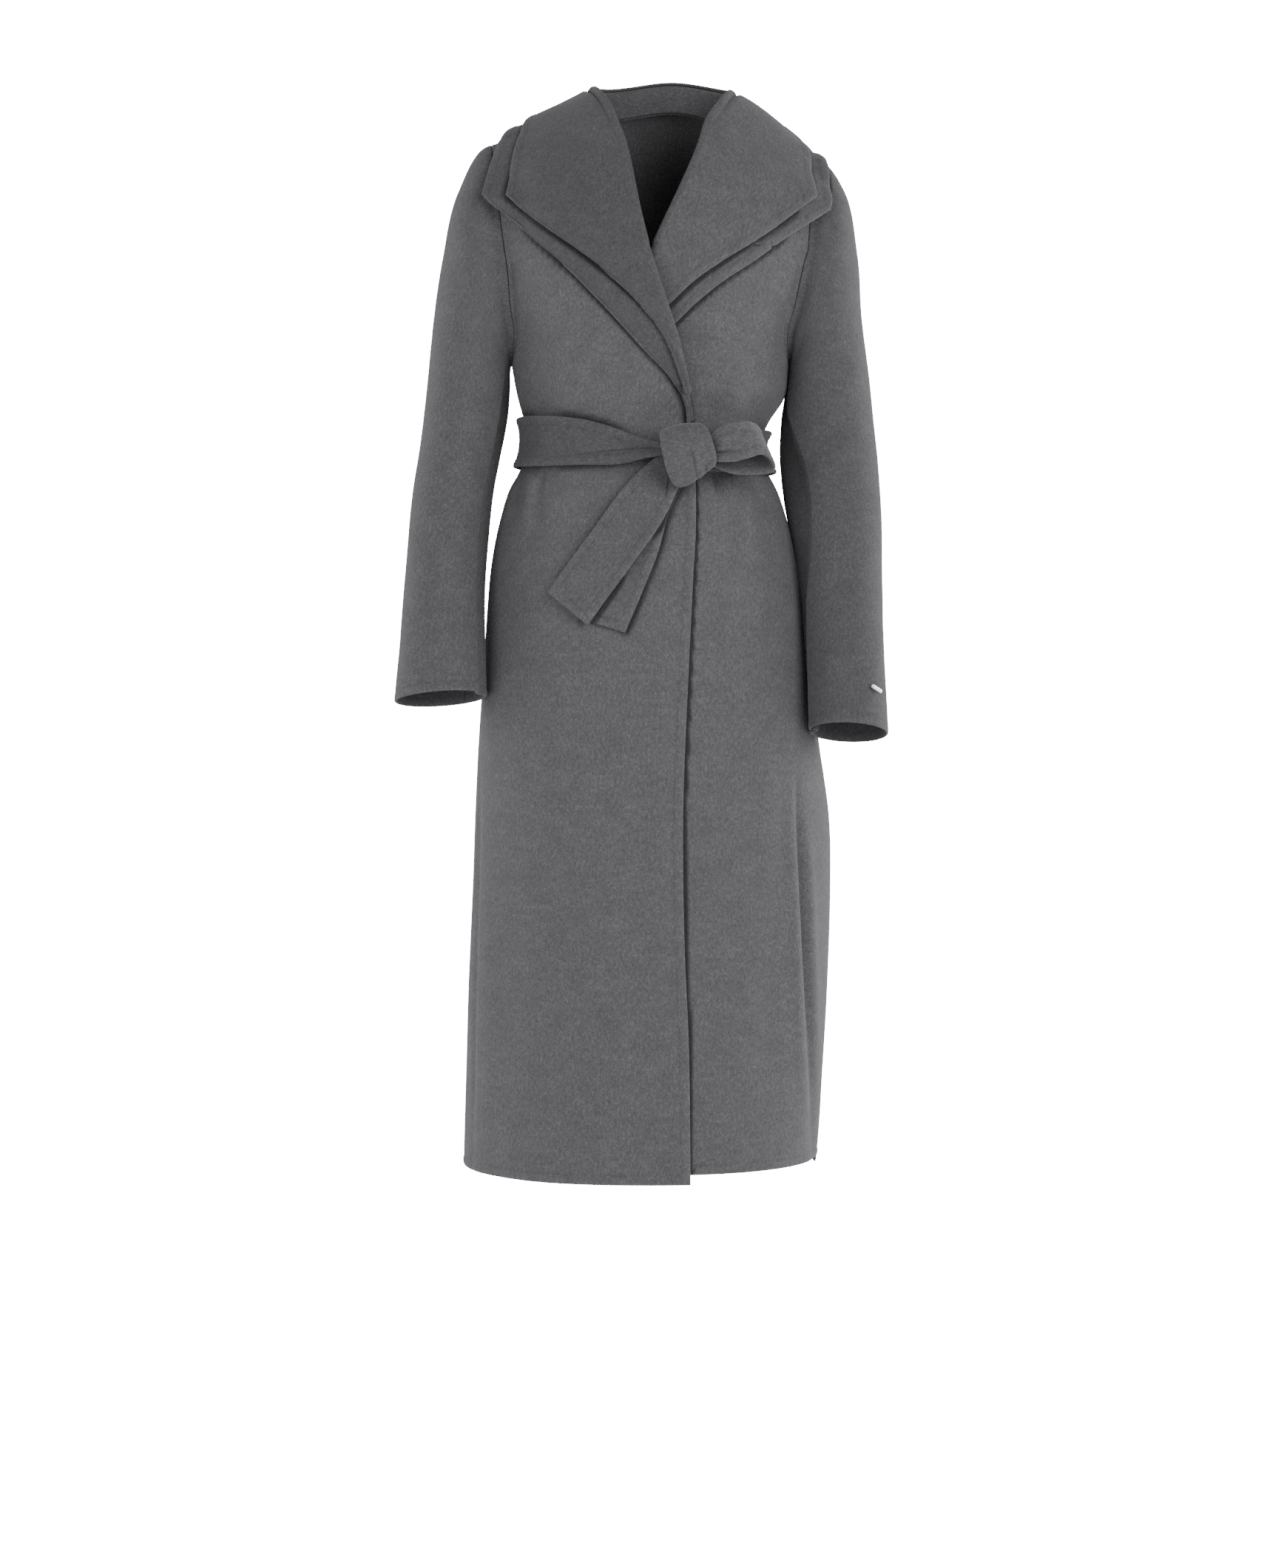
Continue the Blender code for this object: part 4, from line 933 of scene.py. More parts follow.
    def lap(self, side: Side, q: Array, z: Array) -> Array:
        """How far a front stands off the form: the outer one by its table, the under one not at all."""
        start, width = self.lap_side
        return read(self.stand_off, z) * ease((np.asarray(q) - start) / width) * (side is Side.RIGHT)

    def back(self, side_cols: int, neck_cols: int) -> Array:
        """The back, from the wearer's right side seam to the left one, with columns at the neck points."""
        z, share = self.rows(self.hem_z)
        half = self.neck_place(Side.LEFT) - self.neck_middle()
        neck = self.turn_of(self.neck_middle() - half * np.cos(np.linspace(0, np.pi, 2 * neck_cols + 1)))
        right = self.turn_of(-self.arm_place("back", z, share))
        left = self.turn_of(self.arm_place("back", z, share))
        across = np.linspace(0, 1, side_cols + 1)
        first = right[:, None] + (neck[0] - right)[:, None] * across
        last = neck[-1] + (left - neck[-1])[:, None] * across
        turns = np.concatenate([first[:, :-1], np.tile(neck, (len(z), 1)), last[:, 1:]], axis=1)
        return self.panel("back", z, share, turns)

    def arm_edge(self, side: Side, front: Array, back: Array) -> tuple[Array, Array]:
        """The armhole as the panels' edge points, with the degrees of each: 0 at the shoulder, 90 in front."""
        z, share = self.rows(self.hem_z)
        up = np.where(share > 0, share, (z - self.bust_z) / (self.bust_z - self.underarm_z))
        degrees = np.degrees(np.arccos(np.clip(up[up >= -1], -1, 1)))
        ahead, behind = front[-len(degrees) :, 0], back[-len(degrees) :, 0 if side is Side.RIGHT else -1]
        turns = np.concatenate([degrees[::-1], 360 - degrees])
        return turns, np.concatenate([ahead[::-1], behind])

    def leaving(self, name: str, side: Side, up: Array) -> Array:
        """The way that the panel's cloth leaves at its armhole, up being 1 at the shoulder and -1 below.

        It is taken from a place a little inside the armhole, and at its foot from one a little below.
        """
        share, low = np.clip(up, 0, 1), np.minimum(up, 0)[:, None]
        z = self.bust_z + (self.bust_z - self.underarm_z) * low[:, 0]
        q = side * self.arm_place(name, z, share)
        height = z + (self.top_z(q) - self.bust_z) * share
        here = self.points(name, q, height)
        near = q * 0.96
        inside = self.points(name, near, z + (self.top_z(near) - self.bust_z) * share)
        below = self.points(name, q, height - 10.0)
        return unit(unit(here - inside) * (1 + low) - unit(here - below) * low)

    def armhole(self, side: Side, turns: Array, front: Array, back: Array) -> tuple[Array, Array]:
        """Points of the armhole at degrees round it, and the way that the body's cloth leaves there."""
        at, edge = self.arm_edge(side, front, back)
        turn = turns % 360
        points = np.stack([np.interp(turn, at, edge[:, i]) for i in range(3)], axis=1)
        up = np.cos(np.radians(turn))
        ahead, behind = self.leaving("front", side, up), self.leaving("back", side, up)
        return points, np.where((turn <= 180)[:, None], ahead, behind)


@dataclass(frozen=True)
class Cut:
    """A piece as it was cut before sewing.

    Attributes:
        width: Its width, in metres.
        length: Its length along the grain, in metres.
        area: Its area, in square metres.
        held: How it is held in the coat.
    """

    width: float
    length: float
    area: float
    held: str = "hung"


def dressed(piece: bpy.types.Object, material: bpy.types.Material) -> None:
    """Gives a piece its material and its node, hides the part that it stands for, and reports it."""
    piece.data.materials.append(material)
    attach(piece, "root")
    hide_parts(piece.name.rpartition("_")[0])
    LOG.info("%s: %d faces", piece.name, len(piece.data.polygons))


def creased(height: Array, folds: tuple, a: Array, b: Array, share: Array | float = 1.0) -> Array:
    """A height with the rise of folds, as rows of a Fold's values, at the places a and b, times a share."""
    for row in folds:
        height = height + Fold(*row).rise(a, b) * share
    return height


def press_line(name: str, line: Array, reach: float = 1.6, above: float = LAYER) -> None:
    """Paints a contact shadow where an edge lies on a piece: painted shade that darkens its colour.

    The mark is exp(-(d / reach)^2), d being a point's distance to the line less how far above it the line is.

    Args:
        name: The piece that gets the painted shadow.
        line: Points of the edge that lies on it.
        reach: How far the mark spreads, in millimetres.
        above: How far the edge lies above the piece, in millimetres.
    """
    mesh = bpy.data.objects[name].data
    places = np.empty(len(mesh.vertices) * 3, np.float32)
    mesh.vertices.foreach_get("co", places)
    places = places.reshape(-1, 3) / MM
    nearest = np.full(len(places), 1e6)
    for start, step in zip(line[:-1], np.diff(line, axis=0)):
        along = np.clip((places - start) @ step / max(step @ step, 1e-9), 0.0, 1.0)
        nearest = np.minimum(nearest, ((places - start - along[:, None] * step) ** 2).sum(axis=1))
    mark = bell(np.maximum(np.sqrt(nearest) - above, 0.0) / reach).astype(np.float32)
    before = np.zeros(len(places), np.float32)
    kept = mesh.attributes.get("pressed") or mesh.attributes.new("pressed", "FLOAT", "POINT")
    kept.data.foreach_get("value", before)
    kept.data.foreach_set("value", np.maximum(before, mark))


@dataclass
class Panels:
    """The back and the two fronts, hung from the shoulders and gathered by the belt.

    Attributes:
        form: The form that they are cut to.
        side_cols: The back's columns from a side seam to the neck point.
        neck_cols: Its columns from the neck point to the middle.
        front_cols: A front's columns.
        creases: Folds finer than the form's own, in x and z, for each panel.
        uneven: The height of the cloth's unevenness, and its shortest and longest wave.
        pinch: How deep the cloth is drawn in along the armhole's front.
        pinch_at: How far from the armhole that is, and how wide.
        pinch_z: The heights between which it is drawn in, and over what height it fades at each.
        free_from: How far from a seam, and from the shoulder, the cloth is free to crease.
        edge_mark: How far the painted contact shadow spreads beside the right front's edge.
        lapel_mark: The heights of its upper stretch, how far its painted shadow spreads, and from how far above.
        side_line: The right front's column where its side seam's allowance is pressed forward.
        side_mark: The height up to which painted shade shows along that seam, and how far it spreads.
        plumb: The x where each panel's grain hangs plumb.
        cuts: Each panel's cut.
    """

    form: BodyForm
    side_cols: int = 34
    neck_cols: int = 22
    front_cols: int = 110
    creases: ClassVar[dict] = {
        "front_right": (
            (-150, -408, -158, -470, 7, -2.2, 2, 0.6), (-124, -406, -128, -470, 5, -4.6, -3, 0.5),
            (-112, -406, -112, -450, 5, -2.6, 0, 0.5), (-139, -408, -144, -470, 6, 1.6, 2, 0.6),
            (-104, -410, -106, -456, 6, -1.6, 2, 0.6), (-84, -410, -84, -445, 7, -1.2, 0, 0.6),
            (-30, -300, -52, -352, 16, 2.2, 4, 1.3), (-88, -286, -92, -350, 14, 2, -4, 1.4),
            (-62, -296, -72, -352, 9, -1.8, 2, 1.4), (-122, -300, -122, -352, 10, -1.8, 3, 1.4),
            (-196, -740, -205, -1280, 2.8, -4, 0, 0.6), (-180, -800, -190, -1193, 12, 1.6, 3, 1.2),
            (-150, -700, -150, -1193, 20, -1, 4, 1.2), (28, -420, 20, -700, 12, -0.9, 4, 0.7),
        ),
        "front_left": (
            (64, -408, 73, -452, 4.5, -5, 1, 0.5), (78, -412, 82, -470, 8, 1.6, 2, 0.6),
            (96, -412, 98, -470, 7, -2, -2, 0.6), (116, -410, 124, -480, 8, -1.8, 2, 0.6),
            (88, -286, 82, -352, 14, 2.4, 4, 1.4), (108, -296, 104, -352, 8, -2, 2, 1.4),
            (60, -300, 60, -352, 10, -1.6, 2, 1.4), (157, -740, 183, -1260, 3.4, -6, 0, 0.6),
            (148, -770, 174, -1260, 6, 2.6, 0, 0.6), (168, -780, 190, -1260, 6, 3.6, 0, 0.6),
            (120, -800, 124, -1183, 16, -1.2, 3, 1.2), (90, -460, 104, -760, 22, 1.2, 8, 0.8),
        ),
        "back": (
            (-120, -412, -132, -560, 9, -2.6, 4, 0.6), (-88, -412, -92, -520, 8, 2.2, -3, 0.6),
            (-60, -412, -62, -600, 10, -2.6, 4, 0.6), (-28, -414, -30, -540, 8, 2, 3, 0.6),
            (6, -414, 4, -580, 10, -2.4, -4, 0.6), (36, -414, 38, -520, 8, 2, 2, 0.6),
            (66, -414, 72, -600, 10, -2.6, 4, 0.6), (96, -412, 106, -540, 8, 2, -2, 0.6),
            (-100, -250, -80, -350, 12, -2.4, 6, 1.5), (-50, -262, -36, -350, 12, 2.4, -4, 1.5),
            (0, -270, 0, -350, 11, -2.2, 4, 1.5), (48, -262, 36, -350, 12, 2.4, 4, 1.5),
            (100, -250, 82, -350, 12, -2.4, -6, 1.5), (-90, -700, -100, -1193, 20, 2.4, 4, 1.2),
            (20, -760, 24, -1193, 20, -2.2, 5, 1.2), (118, -740, 126, -1193, 18, 2.2, 5, 1.2),
        ),
    }
    uneven: tuple = (0.7, 90.0, 420.0)
    pinch: float = 3.0
    pinch_at: tuple = (6.0, 5.0)
    pinch_z: tuple = ((-292.0, 20.0), (-150.0, 50.0))
    free_from: tuple = (25.0, 40.0)
    edge_mark: float = 0.6
    lapel_mark: tuple = (-372.0, -290.0, 1.2, 6.4)
    side_line: int = 13
    side_mark: tuple = (-700.0, 1.2)
    plumb: ClassVar[dict] = {"back": 0.0, "front_right": -70.0, "front_left": 75.0}
    cuts: ClassVar[dict] = {
        "back": Cut(0.58, 1.26, 0.6),
        "front_right": Cut(0.36, 1.28, 0.345),
        "front_left": Cut(0.37, 1.28, 0.36),
    }

    def build(self, wool: bpy.types.Material) -> dict[str, Array]:
        """Makes the three panels and returns their grids, with the back's neck columns for the collar."""
        grids = {"back": self.form.back(self.side_cols, self.neck_cols)}
        grids |= {f"front_{side.word}": self.form.front(side, self.front_cols) for side in Side}
        for number, (name, grid) in enumerate(grids.items()):
            x, z = grid[..., 0], grid[..., 2]
            height = creased(waves(x, z, 11 + number, *self.uneven), self.creases[name], x, z)
            grid = raised(grid, height * self.free(grid) - self.groove(name, grid), BODY_CORE)
            grids[name] = grid
            last = Finish.SEAM if name == "back" else Finish.TURNED
            edges = (Finish.TURNED, Finish.SEAM, Finish.SEAM, last)
            shell = Shell(f"{name}_cloth", grid, BODY_CORE, CLOTH, edges, plump=0.8, plumb=self.plumb[name])
            dressed(shell.build(), wool)
        # Painted contact shadow on the left front beside the right front's edge and under the lapel's upper
        # stretch, and painted shade along the right front's side seam.
        edge = grids["front_right"][::3, -1]
        low, high, reach, above = self.lapel_mark
        press_line("front_left_cloth", edge, self.edge_mark)
        press_line("front_left_cloth", edge[(edge[:, 2] > low) & (edge[:, 2] < high)], reach, above)
        seam, (top, reach) = grids["front_right"][::6, self.side_line], self.side_mark
        press_line("front_right_cloth", seam[seam[:, 2] < top], reach, 0.0)
        return grids

    def groove(self, name: str, grid: Array) -> Array:
        """The valley beside the armhole's front, where arm and body press the cloth in."""
        z = grid[..., 2]
        if name == "back":
            return 0.0 * z
        right, (place, width) = lengths_along(grid, 1), self.pinch_at
        (low, low_fade), (high, high_fade) = self.pinch_z
        tall = ease((z - low) / low_fade) * ease((high - z) / high_fade)
        return self.pinch * bell((right - place) / width) * tall * ease(right / 3.0)

    def free(self, grid: Array) -> Array:
        """How free the cloth is to crease: 0 at its seams and at the shoulders, 1 from a little inside."""
        right, down = lengths_along(grid, 1), lengths_along(grid, 0)
        edge = np.minimum(right, (right[:, -1:] - right) + 8.0)
        return ease(edge / self.free_from[0]) * ease((down[-1:] - down) / self.free_from[1])


@dataclass
class Sleeves:
    """Two-piece sleeves: a top and an under piece each, set into the armholes.

    Attributes:
        form: The body that carries them.
        rings: The sleeve's rings for each side, from the cap down.
        rows: The sleeve's rows.
        cols: The columns of each piece.
        back_seam: The degrees from the outer line, over the front, to the seam behind.
        front_seam: The degrees to the seam in front, by height.
        front_line: The degrees of the line where that height is read.
        seam_turn: How far a piece ends short of its seam, in degrees, below 0 past it.
        cap_gap: The gap between the sleeve and the panels.
        cap_lead: How far the cloth goes on outwards from the armhole: all round, and more towards the top.
        cap_aim: How far it rises there, at the bottom and at the top.
        uneven: The height of the cloth's unevenness, and its shortest and longest wave.
        pinch: How deep the cloth is drawn in along the armhole's front.
        pinch_at: How far from the armhole that is, and how wide.
        pinch_turn: The degrees of its middle and half of how far round it reaches.
        hollow: How deep the under piece sinks in front, where it faces the body.
        inner_line: The degrees of the line that is nearest to the body, where it ends.
        nap: Painted shade on each sleeve, given as its nap lying the other way.
        creases: Folds in degrees round the sleeve and in z.
        cuts: Each piece's cut.
    """

    form: BodyForm
    rings: ClassVar[dict] = {
        Side.RIGHT: (
            # outer x, outer z, inner x, inner z, middle y, half depth, front lift
            (-222, -86, -165.5, -291, 2, 67, 0), (-240, -160, -165.5, -304, 3, 66, 0),
            (-251, -230, -166.5, -324, 3, 64, 0), (-258, -306, -169.5, -350, 2, 61, 1),
            (-265.5, -372, -176, -388, -3, 58, 2), (-272.5, -423, -184.5, -433, -12, 56, 4),
            (-278, -491, -190.5, -499, -28, 53, 6), (-281.5, -541, -191.5, -547, -40, 51, 7),
            (-285, -609, -190, -611, -56, 49, 8), (-289, -667, -188, -659, -67, 47, 9),
        ),
        Side.LEFT: (
            (217, -86, 154.8, -291, 2, 67, 0), (232, -160, 153.2, -304, 3, 66, 0),
            (236, -230, 150.2, -324, 3, 64, 0), (246, -306, 146.2, -352, 2, 61, 1),
            (252.5, -372, 144.5, -392, -4, 59, 2), (255.5, -423, 148.5, -438, -14, 57, 4),
            (257, -491, 160, -503, -30, 54, 6), (257, -541, 165, -550, -42, 52, 7),
            (257, -609, 171, -616, -61, 50, 8), (260, -703, 173.5, -698, -79, 48, 12),
        ),
    }
    rows: int = 172
    cols: ClassVar[dict] = {"top": 110, "under": 44}
    back_seam: float = 240.0
    front_seam: ClassVar[dict] = {
        # z, degrees
        Side.RIGHT: ((-700, 150.0), (-430, 144.0), (-291, 150.0)),
        Side.LEFT: (
            (-700, 178), (-620, 170), (-560, 154), (-509, 136), (-441, 121), (-400, 124), (-364, 138),
            (-328, 157), (-291, 165),
        ),
    }
    front_line: float = 140.0
    seam_turn: float = -0.03
    cap_gap: float = 0.1
    cap_lead: tuple = (1.6, 5.4)
    cap_aim: tuple = (0.1, -0.35)
    uneven: tuple = (0.8, 60.0, 260.0)
    pinch: float = 3.0
    pinch_at: tuple = (6.0, 5.0)
    pinch_turn: tuple = (115.0, 40.0)
    hollow: float = 9.0
    inner_line: float = 190.0
    # Painted shade: the wearer's left sleeve is darkened most.
    nap: ClassVar[dict] = {Side.RIGHT: 0.3, Side.LEFT: 0.8}
    creases: ClassVar[dict] = {
        Side.RIGHT: (
            (60, -330, 130, -392, 14, -2.2, 6), (70, -372, 140, -420, 12, 2, 5),
            (56, -420, 138, -446, 13, -2.4, 6), (20, -250, 70, -330, 18, 1.8, 6),
            (80, -500, 150, -520, 12, -1.6, 5), (10, -560, 60, -620, 18, 1.4, 4),
            (-110, -400, -30, -440, 16, -2, 6), (-110, -350, -40, -392, 15, 1.8, 5),
        ),
        Side.LEFT: (
            (60, -340, 120, -400, 14, -2.2, 6), (70, -382, 122, -430, 12, 2, 5),
            (50, -430, 120, -458, 13, -2.4, 6), (20, -250, 70, -330, 18, 1.8, 6),
            (70, -520, 122, -545, 12, -1.6, 5), (10, -580, 60, -640, 18, 1.4, 4),
            (-110, -410, -30, -450, 16, -2, 6), (-110, -360, -40, -402, 15, 1.8, 5),
        ),
    }
    cuts: ClassVar[dict] = {
        "top": Cut(0.36, 0.66, 0.145),
        "under": Cut(0.15, 0.49, 0.045),
    }

    def grid(self, side: Side, turns: Array, lengths: Array, front: Array, back: Array) -> Array:
        """A sleeve's shell at degrees round it and places along it, 0 to 1, a cubic through its rings."""
        seam, away = self.form.armhole(side, turns, front, back)
        angle = np.radians(turns)
        upper, lower = np.clip(np.cos(angle), 0, 1), np.clip(-np.cos(angle), 0, 1)
        slope = self.cap_aim[0] * lower + self.cap_aim[1] * upper
        aim = unit(np.stack([side + 0 * angle, 0 * angle, slope], axis=1))
        across = np.sqrt(np.clip(1 - (away * aim).sum(axis=1) ** 2, 0.0, 1.0))
        start = seam + away * (self.cap_gap + CLOTH / 2 * across)[:, None]
        lead = aim * (self.cap_lead[0] + self.cap_lead[1] * (1 - lower))[:, None]
        table = np.array(self.rings[side], float)
        outer, inner = table[:, [0, 4, 1]], table[:, [2, 4, 3]]
        middle, reach = (outer + inner) / 2, (outer - inner) / 2
        depth = np.stack([0 * table[:, 5], -table[:, 5], table[:, 6]], axis=1)
        over, ahead = np.cos(angle)[:, None], np.sin(angle)[:, None]
        rings = middle[:, None] + over * reach[:, None] + ahead * depth[:, None]
        rings = np.concatenate([[start, start + lead], rings])
        steps = np.linalg.norm(np.diff(rings, axis=0), axis=2).mean(axis=1)
        places = np.concatenate([[0.0], np.cumsum(steps)]) / steps.sum()
        at = np.interp(lengths, np.linspace(0, 1, len(places)), places)
        return smooth(places, rings, at)

    def build(self, panels: dict[str, Array], wool: bpy.types.Material) -> dict[int, Array]:
        """Makes the four pieces and returns each sleeve whole, for the collar to lie on."""
        whole = {}
        turns = np.arange(-180.0, 361.0, 1.0)
        for side in Side:
            front, back = panels[f"front_{side.word}"], panels["back"]
            tube = self.grid(side, turns, np.linspace(0, 1, self.rows), front, back)
            seam = read(self.front_seam[side], tube[:, int(self.front_line - turns[0]), 2])[:, None]
            spans = {
                "top": (self.back_seam - 360 + self.seam_turn, seam - self.seam_turn),
                "under": (seam + self.seam_turn, self.back_seam - self.seam_turn),
            }
            for piece, (start, end) in spans.items():
                degrees = start + (end - start) * np.linspace(0, 1, self.cols[piece])
                grid = self.draped(side, piece, turned_to(tube, degrees - turns[0]), degrees, start, end)
                edges = (Finish.SEAM, Finish.TURNED, Finish.SEAM, Finish.SEAM)
                name, core = f"sleeve_{side.word}_{piece}_cloth", sleeve_core(self.rings[side])
                shell = Shell(name, grid, core, CLOTH, edges, plumb_share=0.72, level=-1)
                shell.nap = (self.nap[side],) * 2
                dressed(shell.build(), wool)
            whole[side] = self.grid(side, np.linspace(0, 360, 91), np.linspace(0, 1, 80), front, back)
        return whole

    def draped(self, side: Side, piece: str, grid: Array, degrees: Array, start: Array, end: Array) -> Array:
        """A piece's grid with its folds, drawn in along the armhole and, on the under piece, sunk in front.

        Args:
            side: The wearer's side.
            piece: top or under.
            grid: The smooth grid.
            degrees: The degrees of its points round the sleeve.
            start: The degrees of its first seam.
            end: The degrees of its other seam.

        Returns:
            The moved points.
        """
        z, down, edge = grid[..., 2], lengths_along(grid, 0), np.minimum(degrees - start, end - degrees)
        height = creased(waves(degrees * 1.1, z, 31 + side, *self.uneven), self.creases[side], degrees, z)
        (place, width), (turn, half) = self.pinch_at, self.pinch_turn
        pinch = self.pinch * bell((down - place) / width) * ease(1.6 - np.abs(degrees - turn) / half)
        if piece == "under":
            way = np.clip((degrees - start) / np.maximum(self.inner_line - start, 20.0), 0.0, 1.0)
            pinch = pinch + self.hollow * np.sin(np.pi * way**0.7) * ease(down / 60.0)
        free = ease(edge / 14.0) * ease(down / 45.0)
        return raised(grid, height * free - pinch * ease(edge / 4.0))


def turned_to(tube: Array, places: Array) -> Array:
    """Points of a tube at places between its columns, in a straight line from one column to the next."""
    below = np.clip(np.floor(places).astype(int), 0, tube.shape[1] - 2)
    rows = np.arange(tube.shape[0])[:, None]
    return tube[rows, below] + (tube[rows, below + 1] - tube[rows, below]) * (places - below)[..., None]


def sleeve_core(rings: tuple) -> Array:
    """A point on a sleeve's middle line, half way down."""
    row = rings[len(rings) // 2]
    return np.array(((row[0] + row[2]) / 2, row[4], (row[1] + row[3]) / 2), float)


@dataclass
class Collar:
    """The doubled shawl collar: a lower and an upper layer, each in two halves that meet behind the neck.

    Attributes:
        form: The body that carries it.
        edges: The free edge of each layer: the share of the roll line from its foot, x, y and z. A y of None
            lies on the front.
        profile: The section by share, with the neck point at neck_share.
        neck_share: The neck point's share in the profile.
        foot_taper: The roll's size at the foot as a share of its full size, and the share where it is full.
        foot_z: The height where each side's roll line starts.
        nap: Painted shade on each lapel, given as its nap lying the other way.
        nap_behind: The same at the back of the neck.
        neck_axis: The x and y of the neck's middle, which the stand leans away from.
        upright: The stand's height from which the collar no longer follows the coat's cloth.
        level_from: The share from which its sections are turned square to the middle of the back.
        lean: How far the stand leans outwards, as a share of its height.
        corner: The share of the lapel's corner, where its edge breaks.
        corner_place: The corner's share in the profile.
        stations: The number of sections.
        look: How far ahead and behind the roll line's way is taken, as a share.
        even_over: The shares over which the way of the panels' cloth is evened.
        turns: The degrees of each layer's points round the roll.
        fall_places: The places of the fall's points, as shares of its curve.
        parts: Into how many parts each step of a section is cut.
        uneven: The height of the cloth's unevenness, and its shortest and longest wave.
        cuts: Each half layer's cut.
    """

    form: BodyForm
    edges: ClassVar[dict] = {
        (Side.RIGHT, "lower"): (
            (0.0, 36.5, None, -360), (0.035, 33.4, None, -335.6), (0.07, 19.5, None, -309.7),
            (0.115, -10.3, None, -278.1), (0.165, -36.1, None, -251.5), (0.225, -68.6, None, -217.1),
            (0.285, -101.2, None, -183.2), (0.345, -134.7, None, -151.2), (0.405, -169, -76, -120.1),
            (0.43, -181, -68, -110.5), (0.45, -193.5, -62, -97), (0.5, -190.5, -52, -82),
            (0.56, -184.5, -38, -58), (0.62, -178, -20, -36), (0.68, -170.5, -3, -17.5),
            (0.73, -162, 13, -9.5), (0.79, -149, 42, -12), (0.87, -120, 90, -31), (0.94, -62, 120, -52),
            (1.00, 2, 128, -62),
        ),
        (Side.RIGHT, "upper"): (
            (0.06, 33.5, None, -306), (0.085, 30.3, None, -293.8), (0.115, 24.5, None, -278),
            (0.14, 16.4, None, -263.7), (0.165, 8.3, None, -250.8), (0.19, -3.8, None, -238),
            (0.22, -20, None, -222.7), (0.28, -52.3, None, -193.9), (0.33, -84.9, None, -168.3),
            (0.375, -117.9, None, -143.1), (0.42, -151.9, -90, -114.2), (0.45, -165.4, -80, -101),
            (0.5, -161, -67, -80), (0.56, -154, -46, -50.4), (0.62, -147, -22, -25),
            (0.68, -139.5, 1, -5), (0.73, -130, 19, 2), (0.79, -119, 44, 0), (0.87, -100, 78, -12),
            (0.94, -54, 108, -30), (1.00, 4, 116, -38),
        ),
        (Side.LEFT, "lower"): (
            (0.0, -6, None, -271), (0.06, 22.3, None, -249.5), (0.115, 45.1, None, -227.3),
            (0.19, 77.8, None, -200.4), (0.26, 110.8, None, -177.9), (0.33, 144.2, None, -152.1),
            (0.405, 178.8, -78, -128.6), (0.45, 198.5, -62, -114), (0.49, 200.5, -55, -102),
            (0.54, 199, -46, -90), (0.6, 197, -32, -77), (0.66, 194, -14, -62), (0.72, 187, 8, -44),
            (0.79, 168, 40, -20), (0.87, 132, 90, -31), (0.94, 76, 120, -54), (1.00, 3, 128, -62),
        ),
        (Side.LEFT, "upper"): (
            (0.0, -10, None, -253), (0.055, 16.6, None, -228.4), (0.125, 45.1, None, -201.2),
            (0.195, 77.8, None, -177.6), (0.27, 110.8, None, -155.9), (0.345, 144.3, None, -131.2),
            (0.405, 166, -89, -115), (0.45, 182.1, -80, -101.8), (0.5, 180, -67, -87),
            (0.56, 177, -48, -69), (0.62, 173.5, -27, -52.5), (0.68, 168, -6, -37.5),
            (0.73, 158, 14, -21), (0.79, 141, 40, -9), (0.87, 110, 76, -15), (0.94, 66, 108, -32),
            (1.00, 5, 116, -38),
        ),
    }
    profile: tuple = (
        # share, stand over the seam, droop and spread of the fall as shares of its length
        (0, 0, 0.4, 0), (0.42, 0, 0.36, 0), (0.54, 8, 0.14, 0.05), (0.64, 17, 0.04, 0.08),
        (0.78, 26, 0.02, 0.1), (0.9, 28, 0.25, 0.1), (1, 28, 0.35, 0.08),
    )
    neck_share: float = 0.78
    foot_taper: ClassVar[dict] = {Side.RIGHT: (0.55, 0.14), Side.LEFT: (1.0, 0.16)}
    foot_z: ClassVar[dict] = {Side.RIGHT: -358.0, Side.LEFT: -205.0}
    # Painted shade: the wearer's right lapel is darkened fully, the left a little, the back of the neck between.
    nap: ClassVar[dict] = {Side.RIGHT: 1.0, Side.LEFT: 0.25}
    nap_behind: float = 0.4
    neck_axis: tuple = (12.0, 8.0)
    upright: float = 16.0
    level_from: float = 0.8
    lean: float = 0.12
    corner: float = 0.45
    corner_place: float = 0.42
    stations: int = 140
    look: float = 0.02
    even_over: tuple = (-0.03, -0.015, 0.0, 0.015, 0.03)
    turns: ClassVar[dict] = {"lower": (180, 135, 90, 45, 0), "upper": (90, 55, 20, 0)}
    fall_places: tuple = (0.16, 0.34, 0.52, 0.7, 0.86, 1.0)
    parts: int = 6
    uneven: tuple = (0.5, 50.0, 180.0)
    cuts: ClassVar[dict] = {
        (Side.RIGHT, "lower"): Cut(0.21, 0.7, 0.078, "folded"),
        (Side.RIGHT, "upper"): Cut(0.17, 0.64, 0.055, "folded"),
        (Side.LEFT, "lower"): Cut(0.175, 0.6, 0.064, "folded"),
        (Side.LEFT, "upper"): Cut(0.145, 0.545, 0.048, "folded"),
    }

    def roll_line(
        self, side: Side, front: Array, back: Array, first: int, count: int
    ) -> tuple[Array, Array, Array, float]:
        """The line that the collar is sewn to: up the front's edge, then round half of the back's neck edge.

        Args:
            side: The wearer's side.
            front: The front's grid.
            back: The back's grid.
            first: The back's column at the right neck point.
            count: The columns from there to the middle of the back.

        Returns:
            Shares of its length, its points, the ways that the panels' cloth leaves there, and the neck
            point's share.
        """
        rows = front[:, -1, 2] > self.foot_z[side]
        edge, edge_way = front[rows, -1], unit(front[rows, -1] - front[rows, -4])
        last = first + 2 * count + 1
        neck, neck_way = back[-1, first:last], unit(back[-1, first:last] - back[-4, first:last])
        if side is Side.LEFT:
            neck, neck_way = neck[::-1], neck_way[::-1]
        points = np.concatenate([edge, neck[1 : count + 1]])
        ways = np.concatenate([edge_way, neck_way[1 : count + 1]])
        steps = np.linalg.norm(np.diff(points, axis=0), axis=1)
        shares = np.concatenate([[0.0], np.cumsum(steps)]) / steps.sum()
        return shares, points, ways, float(shares[len(edge) - 1])

